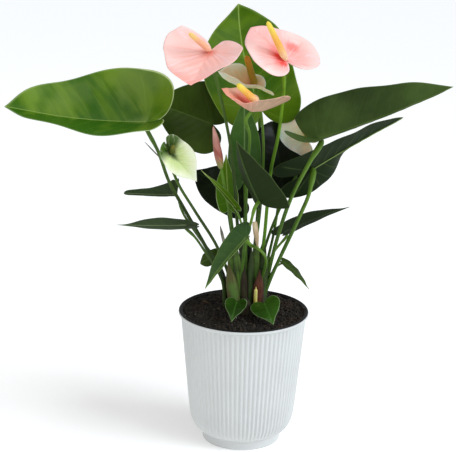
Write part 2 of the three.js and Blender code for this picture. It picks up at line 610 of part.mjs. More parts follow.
function growBoreRadius(z) {
  const t = (z - GROW_FLOOR_TOP) / (GROW_RIM_TOP - GROW_FLOOR_TOP);
  return THREE.MathUtils.lerp(GROW_FLOOR_RADIUS, GROW_TOP_RADIUS, t) - GROW_WALL;
}

function soilGeometry() {
  const floor = GROW_FLOOR_TOP + TOUCH_GAP;
  const edge = growBoreRadius(SOIL_EDGE_HEIGHT) - TOUCH_GAP;
  const profile = [
    new THREE.Vector2(0, floor),
    new THREE.Vector2(growBoreRadius(floor) - TOUCH_GAP, floor),
  ];
  for (let ring = SOIL_RINGS; ring >= 0; ring -= 1) {
    profile.push(new THREE.Vector2(edge * ring / SOIL_RINGS, SOIL_EDGE_HEIGHT));
  }
  const geometry = new THREE.LatheGeometry(profile, GROW_SIDES);
  geometry.rotateX(Math.PI / 2);
  const position = geometry.getAttribute("position");
  for (let i = 0; i < position.count; i += 1) {
    const onTop = position.getZ(i) > SOIL_EDGE_HEIGHT - 1;
    if (onTop) position.setZ(i, soilHeight(position.getX(i), position.getY(i)));
  }
  let soil = toSolid(geometry);
  for (const hole of holes) soil = soil.subtract(hole);
  return toGeometry(soil);
}

addPiece("soil", soilGeometry(), SOIL_BROWN, 0.95);

// The black growing pot: a thin tapered wall, a flat flange round its top and holes in its floor.

function growingPotGeometry() {
  const point = (r, z) => new THREE.Vector2(r, z);
  const neck = GROW_TOP_RADIUS - GROW_NECK_INSET;
  const profile = [
    point(0, GROW_FLOOR_HEIGHT), point(GROW_FLOOR_RADIUS, GROW_FLOOR_HEIGHT), point(neck, GROW_RIM_UNDER),
    point(FLANGE_RADIUS - FLANGE_EDGE, GROW_RIM_UNDER), point(FLANGE_RADIUS, GROW_RIM_UNDER + FLANGE_EDGE),
    point(FLANGE_RADIUS, GROW_RIM_TOP - FLANGE_EDGE), point(FLANGE_RADIUS - FLANGE_EDGE, GROW_RIM_TOP),
    point(FLANGE_INNER_RADIUS, GROW_RIM_TOP), point(growBoreRadius(GROW_RIM_UNDER), GROW_RIM_UNDER),
    point(GROW_FLOOR_RADIUS - GROW_WALL, GROW_FLOOR_TOP), point(0, GROW_FLOOR_TOP),
  ];
  const geometry = new THREE.LatheGeometry(profile, GROW_SIDES);
  geometry.rotateX(Math.PI / 2);
  let pot = toSolid(geometry);
  for (let i = 0; i < DRAIN_HOLES; i += 1) {
    const turn = 2 * Math.PI * i / DRAIN_HOLES;
    const drain = new THREE.CylinderGeometry(DRAIN_RADIUS, DRAIN_RADIUS, 4 * GROW_WALL, DRAIN_SIDES);
    drain.rotateX(Math.PI / 2);
    drain.translate(DRAIN_CIRCLE * Math.cos(turn), DRAIN_CIRCLE * Math.sin(turn), GROW_FLOOR_HEIGHT);
    pot = pot.subtract(toSolid(drain));
  }
  return toGeometry(pot);
}

addPiece("nursery_pot", growingPotGeometry(), POT_BLACK, 0.5);

// The white pot: foot, round belly and straight flared wall with upright ribs below a plain lip.

const FOOT_STEP = { out: 2, up: 1 };
const POT_BELLY = [[49.5, 12], [53.5, 18], [56.2, 26], [58.4, 44], [67.2, RIB_HIGHEST]];
const POT_BORE = [[40, POT_FLOOR], [49, 15], [53.4, 28], [POT_LIP_RADIUS - POT_WALL, POT_LIP_TOP + 1]];
const BORE_SIDES = 48;

function outerPotGeometry() {
  const point = ([r, z]) => new THREE.Vector2(r, z);
  const outside = [
    [0, 0], [FOOT_RADIUS, 0], [FOOT_RADIUS, FOOT_TOP],
    [FOOT_RADIUS + FOOT_STEP.out, FOOT_TOP + FOOT_STEP.up], ...POT_BELLY,
    [POT_LIP_RADIUS, RIB_HIGHEST + LIP_STEP], [POT_LIP_RADIUS, POT_LIP_TOP], [0, POT_LIP_TOP],
  ].map(point);
  const geometry = new THREE.LatheGeometry(outside, 2 * RIB_COUNT);
  geometry.rotateX(Math.PI / 2);
  const position = geometry.getAttribute("position");
  for (let i = 0; i < position.count; i += 1) {
    const side = Math.floor(i / outside.length);
    const z = position.getZ(i);
    if (z > RIB_LOWEST && z <= RIB_HIGHEST && side % 2 === 1) {
      const reach = Math.hypot(position.getX(i), position.getY(i));
      const cut = (reach - RIB_DEPTH) / reach;
      position.setX(i, position.getX(i) * cut);
      position.setY(i, position.getY(i) * cut);
    }
  }
  const top = POT_LIP_TOP + 1;
  const bore = new THREE.LatheGeometry([[0, POT_FLOOR], ...POT_BORE, [0, top]].map(point), BORE_SIDES);
  bore.rotateX(Math.PI / 2);
  return toGeometry(toSolid(geometry).subtract(toSolid(bore)));
}

addPiece("outer_pot", outerPotGeometry(), POT_WHITE, 0.35);

export default plant;
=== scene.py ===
"""Looks of a potted anthurium: leaves, blooms, stems, soil and pots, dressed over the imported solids.

Lengths in the classes are millimetres, as in the part's source; meshes are made in metres. The origin is
the centre of the pot's foot on the surface, the front is at -Y and +Z is up.
"""

import logging
import math
from dataclasses import dataclass
from enum import Enum

import bpy
import numpy as np
from mathutils import Matrix, Vector


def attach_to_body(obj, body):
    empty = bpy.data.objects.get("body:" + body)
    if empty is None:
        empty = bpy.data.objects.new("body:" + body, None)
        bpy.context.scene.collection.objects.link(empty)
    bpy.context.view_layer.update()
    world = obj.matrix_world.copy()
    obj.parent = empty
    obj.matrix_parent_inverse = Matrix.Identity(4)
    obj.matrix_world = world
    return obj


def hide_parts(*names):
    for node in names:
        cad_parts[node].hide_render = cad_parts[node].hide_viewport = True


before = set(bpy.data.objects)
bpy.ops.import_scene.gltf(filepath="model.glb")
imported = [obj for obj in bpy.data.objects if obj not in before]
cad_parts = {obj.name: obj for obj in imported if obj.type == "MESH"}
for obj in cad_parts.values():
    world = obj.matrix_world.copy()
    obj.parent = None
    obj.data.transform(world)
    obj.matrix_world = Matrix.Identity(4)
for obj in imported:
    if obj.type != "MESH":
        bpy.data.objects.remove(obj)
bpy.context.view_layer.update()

LOG = logging.getLogger("anthurium")
MM = 0.001
BODY = "root"

Vec = tuple[float, float, float]
Pair = tuple[float, float]
Color = tuple[float, float, float, float]
Socket = bpy.types.NodeSocket
Value = Socket | float | int | Vec | Color

LEFT = 0
RIGHT = 1


def tone(code: str) -> Color:
    """Turn a screen colour into the scene's linear colour.

    Args:
        code: The colour as six hexadecimal digits after a hash sign.

    Returns:
        Linear red, green, blue and a full alpha.
    """
    parts = [int(code[i : i + 2], 16) / 255 for i in (1, 3, 5)]
    linear = [p / 12.92 if p <= 0.04045 else ((p + 0.055) / 1.055) ** 2.4 for p in parts]
    return linear[0], linear[1], linear[2], 1.0


def smoothstep(value: np.ndarray, low: float, high: float) -> np.ndarray:
    """Ease a value from 0 at low to 1 at high.

    Args:
        value: The numbers to ease.
        low: Where the result leaves 0.
        high: Where the result reaches 1.

    Returns:
        The eased numbers, from 0 to 1.
    """
    t = np.clip((value - low) / (high - low), 0, 1)
    return t * t * (3 - 2 * t)


def unit(vector: np.ndarray) -> np.ndarray:
    """Give vectors along the last axis a length of one."""
    return vector / np.linalg.norm(vector, axis=-1, keepdims=True)


# Node trees


class Graph:
    """Adds nodes to a node tree and links them in short calls."""

    def __init__(self, tree: bpy.types.NodeTree) -> None:
        """Keep the tree that the nodes go into."""
        self.tree = tree

    def add(self, kind: str, **settings: object) -> bpy.types.Node:
        """Add a node.

        Args:
            kind: The node's type name.
            **settings: Properties to set on it.

        Returns:
            The new node.
        """
        node = self.tree.nodes.new(kind)
        for name, value in settings.items():
            setattr(node, name, value)
        return node

    def put(self, socket: Socket, value: Value) -> None:
        """Link a socket, or set its constant.

        Args:
            socket: The input to fill.
            value: Another node's output, or a constant.
        """
        if isinstance(value, bpy.types.NodeSocket):
            self.tree.links.new(value, socket)
        else:
            socket.default_value = value

    def fill(self, node: bpy.types.Node, values: dict[str, Value]) -> bpy.types.Node:
        """Fill a node's inputs by name.

        Args:
            node: The node.
            values: Input name to output or constant.

        Returns:
            The same node.
        """
        for name, value in values.items():
            self.put(node.inputs[name], value)
        return node

    def math(self, operation: str, *values: Value) -> Socket:
        """Add a Math node.

        Args:
            operation: The operation's name.
            *values: Its inputs, in order.

        Returns:
            The result.
        """
        node = self.add("ShaderNodeMath", operation=operation)
        for socket, value in zip(node.inputs, values):
            self.put(socket, value)
        return node.outputs[0]

    def times(self, first: Value, second: Value) -> Socket:
        """Multiply two numbers."""
        return self.math("MULTIPLY", first, second)

    def plus(self, first: Value, second: Value) -> Socket:
        """Add two numbers."""
        return self.math("ADD", first, second)

    def minus(self, first: Value, second: Value) -> Socket:
        """Take the second number from the first."""
        return self.math("SUBTRACT", first, second)

    def over(self, first: Value, second: Value) -> Socket:
        """Divide the first number by the second."""
        return self.math("DIVIDE", first, second)

    def vector(self, operation: str, *values: Value) -> Socket:
        """Add a Vector Math node.

        Args:
            operation: The operation's name.
            *values: Its inputs, in order.

        Returns:
            The result.
        """
        node = self.add("ShaderNodeVectorMath", operation=operation)
        sockets = [s for s in node.inputs if s.enabled]
        for socket, value in zip(sockets, values):
            self.put(socket, value)
        return next(s for s in node.outputs if s.enabled)

    def ease(self, value: Value, low: float, high: float, start: float = 0.0, end: float = 1.0) -> Socket:
        """Map a value smoothly from one range to another.

        Args:
            value: The value to map.
            low: Where the result leaves start.
            high: Where the result reaches end.
            start: Result at low.
            end: Result at high.

        Returns:
            The mapped value.
        """
        node = self.add("ShaderNodeMapRange", interpolation_type="SMOOTHSTEP")
        sizes = {"Value": value, "From Min": low, "From Max": high, "To Min": start, "To Max": end}
        return self.fill(node, sizes).outputs[0]

    def fall(self, value: Value, low: float, high: float) -> Socket:
        """Map a value smoothly to 1 at low and to 0 at high."""
        return self.ease(value, low, high, 1.0, 0.0)

    def blend(self, factor: Value, low: Value, high: Value) -> Socket:
        """Mix two colours.

        Args:
            factor: Share of the second colour.
            low: Colour at 0.
            high: Colour at 1.

        Returns:
            The mixed colour.
        """
        node = self.add("ShaderNodeMix", data_type="RGBA", clamp_factor=True)
        for socket, value in zip([s for s in node.inputs if s.enabled], (factor, low, high)):
            self.put(socket, value)
        return next(s for s in node.outputs if s.enabled)

    def noise(self, where: Value, scale: float, detail: float = 3.0, rough: float = 0.5) -> Socket:
        """Add a noise texture.

        Args:
            where: Coordinates.
            scale: Lumps per metre, or per unit of the coordinates.
            detail: Octaves.
            rough: Share of the finer octaves.

        Returns:
            The noise value, about 0.5 in the middle.
        """
        node = self.add("ShaderNodeTexNoise")
        sizes = {"Vector": where, "Scale": scale, "Detail": detail, "Roughness": rough}
        return self.fill(node, sizes).outputs[0]

    def parts(self, vector: Value) -> tuple[Socket, Socket, Socket]:
        """Split a vector.

        Args:
            vector: The vector.

        Returns:
            Its three components.
        """
        node = self.add("ShaderNodeSeparateXYZ")
        self.put(node.inputs[0], vector)
        return node.outputs[0], node.outputs[1], node.outputs[2]

    def joined(self, x: Value, y: Value, z: Value) -> Socket:
        """Join three numbers.

        Args:
            x: First component.
            y: Second component.
            z: Third component.

        Returns:
            The vector.
        """
        node = self.add("ShaderNodeCombineXYZ")
        for socket, value in zip(node.inputs, (x, y, z)):
            self.put(socket, value)
        return node.outputs[0]


class Shader(Graph):
    """A material's node tree round one Principled shader."""

    def __init__(self, name: str) -> None:
        """Make the material and keep its shader.

        Args:
            name: The material's name.
        """
        self.material = bpy.data.materials.new(name)
        self.material.use_nodes = True
        super().__init__(self.material.node_tree)
        self.surface = self.tree.nodes["Principled BSDF"]
        self.place = self.add("ShaderNodeTexCoord").outputs["Object"]

    def attribute(self, name: str) -> Socket:
        """Read a vector kept on the mesh's vertices."""
        return self.add("ShaderNodeAttribute", attribute_name=name).outputs["Vector"]

    def relief(self, height: Value, distance: float) -> Socket:
        """Turn a height into a bumped normal.

        Args:
            height: Height from 0 to 1.
            distance: What a height of 1 stands for, in millimetres.

        Returns:
            The normal.
        """
        node = self.add("ShaderNodeBump")
        self.fill(node, {"Strength": 1.0, "Distance": distance * MM, "Height": height})
        return node.outputs["Normal"]

    def tint(self, color: Value, code: str, share: Value, most: Value = 1.0) -> Socket:
        """Lay a tone over a colour.

        Args:
            color: The colour below.
            code: The tone on top, as tone takes it.
            share: How far the tone shows, from 0 to 1.
            most: The share that it has where that is 1.

        Returns:
            The mixed colour.
        """
        return self.blend(self.times(share, most), color, tone(code))

    def off_vein(self, phase: Value) -> Socket:
        """Find how far a vein number lies from the nearest whole one."""
        wrapped = self.math("FRACT", self.plus(phase, 0.5))
        return self.math("ABSOLUTE", self.minus(wrapped, 0.5))

    def finish(self, **values: Value) -> bpy.types.Material:
        """Fill the shader's sockets.

        Args:
            **values: Socket name with underscores for spaces, to output or constant.

        Returns:
            The material.
        """
        self.fill(self.surface, {name.replace("_", " "): value for name, value in values.items()})
        return self.material


class GeometryTree(Graph):
    """A Geometry Nodes tree with named inputs, which ends in Realize Instances and Set Material."""

    def __init__(self, name: str, sizes: dict[str, str]) -> None:
        """Make the tree and its sockets.

        Args:
            name: The tree's name.
            sizes: Input name to socket type, without the common prefix.
        """
        super().__init__(bpy.data.node_groups.new(name, "GeometryNodeTree"))
        face = self.tree.interface
        face.new_socket("Geometry", in_out="INPUT", socket_type="NodeSocketGeometry")
        self.codes: dict[str, str] = {}
        for label, kind in {**sizes, "Finish": "Material"}.items():
            made = face.new_socket(label, in_out="INPUT", socket_type=f"NodeSocket{kind}")
            self.codes[label] = made.identifier
        face.new_socket("Geometry", in_out="OUTPUT", socket_type="NodeSocketGeometry")
        self.entry = self.add("NodeGroupInput")

    def given(self, label: str) -> Socket:
        """Read one of the tree's inputs."""
        return self.entry.outputs[label]

    def run(self, kind: str, values: dict[str, Value], **settings: object) -> Socket:
        """Add a node, fill it and give its first enabled output.

        Args:
            kind: The node's type name.
            values: Input name to output or constant.
            **settings: Properties to set on it.

        Returns:
            The node's first enabled output.
        """
        node = self.add(kind, **settings)
        for name, value in values.items():
            self.put(next(s for s in node.inputs if s.name == name and s.enabled), value)
        return next(s for s in node.outputs if s.enabled)

    def keep(self, geometry: Socket, label: str, value: Value, kind: str = "FLOAT_VECTOR") -> Socket:
        """Store a named attribute on points.

        Args:
            geometry: The geometry.
            label: Name of the attribute.
            value: What to store.
            kind: Its data type.

        Returns:
            The geometry.
        """
        sizes = {"Geometry": geometry, "Name": label, "Value": value}
        return self.run("GeometryNodeStoreNamedAttribute", sizes, data_type=kind, domain="POINT")

    def kept(self, label: str) -> Socket:
        """Read a number that points keep under a name."""
        return self.run("GeometryNodeInputNamedAttribute", {"Name": label}, data_type="FLOAT")

    def circle(self, sides: Value) -> Socket:
        """Make a circle with a radius of one."""
        return self.run("GeometryNodeCurvePrimitiveCircle", {"Resolution": sides, "Radius": 1.0})

    def swept(self, curve: Socket, section: Socket, thickness: Value) -> Socket:
        """Sweep a section along a curve, with closed ends."""
        sizes = {"Curve": curve, "Profile Curve": section, "Scale": thickness, "Fill Caps": True}
        return self.run("GeometryNodeCurveToMesh", sizes)

    def close(self, geometry: Socket) -> None:
        """End the tree.

        Args:
            geometry: What the tree has made.
        """
        whole = self.run("GeometryNodeRealizeInstances", {"Geometry": geometry})
        smooth = self.run("GeometryNodeSetShadeSmooth", {"Geometry": whole})
        dressed = self.run("GeometryNodeSetMaterial", {"Geometry": smooth, "Material": self.given("Finish")})
        self.put(self.add("NodeGroupOutput").inputs[0], dressed)

    def grow(self, obj: bpy.types.Object, finish: bpy.types.Material, sizes: dict[str, object]) -> None:
        """Run the tree on an object and keep the result as its plain mesh.

        Args:
            obj: The object whose mesh goes in.
            finish: The material.
            sizes: Input name to value.
        """
        modifier = obj.modifiers.new(self.tree.name, "NODES")
        modifier.node_group = self.tree
        for label, value in {**sizes, "Finish": finish}.items():
            modifier[self.codes[label]] = value
        graph = bpy.context.evaluated_depsgraph_get()
        made = bpy.data.meshes.new_from_object(
            obj.evaluated_get(graph), preserve_all_data_layers=True, depsgraph=graph
        )
        obj.modifiers.clear()
        obj.data = made
        face_outwards(made)


# Meshes


def signed_volume(mesh: bpy.types.Mesh) -> float:
    """Measure the volume that a closed mesh's faces enclose.

    Args:
        mesh: The mesh.

    Returns:
        The volume, below zero where the faces look inwards.
    """
    mesh.calc_loop_triangles()
    points = np.empty(len(mesh.vertices) * 3)
    mesh.vertices.foreach_get("co", points)
    corners = np.empty(len(mesh.loop_triangles) * 3, dtype=np.int32)
    mesh.loop_triangles.foreach_get("vertices", corners)
    a, b, c = points.reshape(-1, 3)[corners.reshape(-1, 3)].transpose(1, 0, 2)
    return float(np.einsum("ij,ij->i", a, np.cross(b, c)).sum() / 6)


def face_outwards(mesh: bpy.types.Mesh) -> None:
    """Turn a closed mesh's faces outwards, and nothing if they do so already."""
    if signed_volume(mesh) < 0:
        mesh.flip_normals()


def linked(name: str, data: bpy.types.ID) -> bpy.types.Object:
    """Make an object and link it to the scene.

    Args:
        name: The object's name.
        data: Its mesh, light or camera.

    Returns:
        The object.
    """
    obj = bpy.data.objects.new(name, data)
    bpy.context.scene.collection.objects.link(obj)
    return obj


def mesh_object(name: str, points: np.ndarray, faces: np.ndarray) -> bpy.types.Object:
    """Make a smooth mesh of triangles.

    Args:
        name: The object's name.
        points: Vertices in millimetres.
        faces: Vertex indices, three a face.

    Returns:
        The object, linked to the scene.
    """
    mesh = bpy.data.meshes.new(name)
    mesh.vertices.add(len(points))
    mesh.vertices.foreach_set("co", (points * MM).ravel())
    mesh.loops.add(len(faces) * 3)
    mesh.loops.foreach_set("vertex_index", faces.astype(np.int32).ravel())
    mesh.polygons.add(len(faces))
    mesh.polygons.foreach_set("loop_start", np.arange(len(faces), dtype=np.int32) * 3)
    mesh.update(calc_edges=True)
    mesh.shade_smooth()
    face_outwards(mesh)
    return linked(name, mesh)


def ring_starts(around: int) -> tuple[np.ndarray, np.ndarray]:
    """Number a ring's points, and for each the next one round."""
    start = np.arange(around)
    return start, (start + 1) % around


def disc_faces(around: int, rings: int) -> np.ndarray:
    """List the triangles of a disc of rings round a middle point, which comes first.

    Args:
        around: Points in a ring.
        rings: Number of rings.

    Returns:
        Vertex indices, three a face.
    """
    i, j = ring_starts(around)
    faces = [np.stack([np.zeros(around, int), 1 + i, 1 + j], axis=1)]
    for ring in range(rings - 1):
        near, far = 1 + ring * around, 1 + (ring + 1) * around
        faces.append(np.stack([near + i, far + i, far + j], axis=1))
        faces.append(np.stack([near + i, far + j, near + j], axis=1))
    return np.vstack(faces)


def disc_points(share: np.ndarray, x: np.ndarray, y: np.ndarray) -> tuple[np.ndarray, np.ndarray]:
    """Lay rings of one form between a middle point and the outermost ring.

    Args:
        share: Size of each ring, as a multiple of the form's.
        x: The form's places across.
        y: Its places along.

    Returns:
        All places across and along, the middle point first.
    """
    return tuple(np.concatenate([[0.0], (share[:, None] * part).ravel()]) for part in (x, y))


def tube_faces(around: int, rings: int) -> np.ndarray:
    """List the triangles of a tube of rings closed by a point at each end.

    Args:
        around: Points in a ring.
        rings: Number of rings; the two end points come after them.

    Returns:
        Vertex indices, three a face.
    """
    i, j = ring_starts(around)
    first, last = np.full(around, rings * around), np.full(around, rings * around + 1)
    faces = [np.stack([first, j, i], axis=1)]
    for ring in range(rings - 1):
        low, high = ring * around, (ring + 1) * around
        faces.append(np.stack([low + i, low + j, high + j], axis=1))
        faces.append(np.stack([low + i, high + j, high + i], axis=1))
    top = (rings - 1) * around
    faces.append(np.stack([top + i, top + j, last], axis=1))
    return np.vstack(faces)


def path_object(name: str, points: np.ndarray, numbers: dict[str, np.ndarray]) -> bpy.types.Object:
    """Make a mesh of edges along a path, with numbers on its points.

    Args:
        name: The object's name.
        points: The path in millimetres.
        numbers: Attribute name to one number a point.

    Returns:
        The object, linked to the scene.
    """
    mesh = bpy.data.meshes.new(name)
    links = list(zip(range(len(points) - 1), range(1, len(points))))
    mesh.from_pydata([tuple(p) for p in points * MM], links, [])
    for label, values in numbers.items():
        mesh.attributes.new(label, "FLOAT", "POINT").data.foreach_set("value", values.astype(np.float32))
    return linked(name, mesh)


def keep_vectors(obj: bpy.types.Object, label: str, values: np.ndarray) -> None:
    """Keep a vector on every vertex for the materials to read.

    Args:
        obj: The object.
        label: The attribute's name.
        values: One vector a vertex.
    """
    kept = obj.data.attributes.new(label, "FLOAT_VECTOR", "POINT")
    kept.data.foreach_set("vector", values.astype(np.float32).ravel())


def seat_piece(obj: bpy.types.Object, slot: str, *nodes: str) -> bpy.types.Object:
    """Let a finished piece ride on the body in place of its solids.

    Args:
        obj: The piece.
        slot: The record's material slot that it is finished in; not used.
        *nodes: The solids that it stands for.

    Returns:
        The piece.
    """
    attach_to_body(obj, BODY)
    if nodes:
        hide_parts(*nodes)
    LOG.info("%s: %d faces, for %s", obj.name, len(obj.data.polygons), ", ".join(nodes) or "no solid")
    return obj


# Smooth paths

SPAN_SAMPLES = 40
SHORTEST_GAP = 1e-4


def smooth_path(points: np.ndarray, count: int) -> np.ndarray:
    """Run a centripetal curve through points.

    Args:
        points: The points that it passes.
        count: Evenly spaced points wanted.

    Returns:
        The points of the curve, evenly spaced.
    """
    first = 2 * points[0] - points[1]
    last = 2 * points[-1] - points[-2]
    ends = np.vstack([first, points, last])
    spans = []
    for i in range(len(points) - 1):
        a, b, c, d = ends[i : i + 4]
        gaps = [math.sqrt(float(np.linalg.norm(q - p))) for p, q in ((a, b), (b, c), (c, d))]
        gaps = [max(gap, SHORTEST_GAP) for gap in gaps]
        leave = gaps[1] * ((b - a) / gaps[0] - (c - a) / (gaps[0] + gaps[1]) + (c - b) / gaps[1])
        arrive = gaps[1] * ((c - b) / gaps[1] - (d - b) / (gaps[1] + gaps[2]) + (d - c) / gaps[2])
        t = np.linspace(0, 1, SPAN_SAMPLES)[:, None]
        spans.append(
            b + leave * t + (3 * (c - b) - 2 * leave - arrive) * t**2 + (2 * (b - c) + leave + arrive) * t**3
        )
    dense = np.vstack(spans)
    return evenly_spaced(dense, dense, count)


def evenly_spaced(path: np.ndarray, measured: np.ndarray, count: int) -> np.ndarray:
    """Pick points along a path, with equal steps as measured on a copy of it.

    Args:
        path: The path, one point a row.
        measured: The same path in the sizes that count.
        count: Points wanted.

    Returns:
        The points on the path.
    """
    run = np.concatenate([[0], np.cumsum(np.linalg.norm(np.diff(measured, axis=0), axis=1))])
    wanted = np.linspace(0, run[-1], count)
    return np.stack([np.interp(wanted, run, part) for part in path.T], axis=1)


# Soil


@dataclass(frozen=True)
class SoilForm:
    """The soil's top: a low mound with lumps inside the growing pot's wall."""

    reach: float = 64.6
    edge_height: float = 144.2
    mound: float = 5.0
    lump: float = 1.1
    fade: float = 1.6
    rim: float = 64.0
    floor: float = 21.6
    floor_radius: float = 43.4

    def height(self, x: np.ndarray | float, y: np.ndarray | float) -> np.ndarray:
        """Find the soil's height.

        Args:
            x: Place across.
            y: Place in depth.

        Returns:
            The height of the soil there.
        """
        reach = np.hypot(x, y) / self.reach
        lumps = np.sin(x * 0.31 + 1.3) * np.sin(y * 0.27 + 0.4) + 0.6 * np.sin(x * 0.13 - y * 0.21)
        level = np.clip(self.fade - self.fade * reach, 0, 1)
        return self.edge_height + self.mound * np.maximum(0, 1 - reach**2) + self.lump * lumps * level


SOIL = SoilForm()


# Blades

OUTLINE_SAMPLES = 120
FEWEST_SPACES = 12
FEWEST_RINGS = 8
RIM_FROM = 0.99
RIM_THINNESS = 0.7
STALK_GAP = 0.4


@dataclass(frozen=True)
class BladeShape:
    """Place and form of a heart-shaped blade.

    Lengths are millimetres, folds are the degrees that each half rises from flat. A pair holds the left
    half's value and the right half's.
    """

    attach: Vec
    tip: Vec
    facing: Vec
    width: float
    fold: Pair = (15, 15)
    fold_tip: Pair | None = None
    fold_turns: Pair = (0, 1)
    arch: float = 4
    bend: float = 0
    curl: float = 0
    wave: float = 1
    waves: float = 3
    phase: Pair = (0, 1.7)
    lobe: Pair = (0.24, 0.24)
    lobe_lift: Pair = (0, 0)
    lobe_spread: Pair = (0.5, 0.5)
    shoulder: Pair = (0.12, 0.12)
    sinus: float = 0.03
    tip_fullness: Pair = (0.2, 0.2)
    waist: Pair = (0, 0)
    sides: Pair = (1, 1)
    blunt: float = 0
    dimple: Vec = (0, 0, 0)
    dimple_radius: float = 7
    edge: float = 0.8
    heart: float = 1.8


@dataclass(frozen=True)
class VeinPlan:
    """How a blade's veins run, and the relief that they give it."""

    laterals: float = 8
    basal: float = 3
    slant: float = 0.55
    sweep: float = 0.35
    quilt: float = 0.45
    groove: float = 0.22
    rib: float = 0.7
    crease: float = 2.0


LEAF_VEINS = VeinPlan(quilt=0.2, groove=0.12)
SMALL_VEINS = VeinPlan(laterals=6, basal=2, quilt=0.15, groove=0.1, rib=0.35, crease=0.8)
SPATHE_VEINS = VeinPlan(
    laterals=5, basal=4, slant=1.2, sweep=0.1, quilt=0.3, groove=0.1, rib=0.25, crease=2.5,
)
SCALE_VEINS = VeinPlan(laterals=3, basal=1, slant=4, sweep=0, quilt=0.12, groove=0.05, rib=0.1, crease=1)


def bezier(points: list[Pair], t: np.ndarray) -> np.ndarray:
    """Sample a cubic curve in the plane.

    Args:
        points: Its four control points.
        t: Where to sample it, from 0 to 1.

    Returns:
        One point for each t.
    """
    a, b, c, d = (np.array(p) for p in points)
    s = t[:, None]
    return a * (1 - s) ** 3 + 3 * b * s * (1 - s) ** 2 + 3 * c * s**2 * (1 - s) + d * s**3


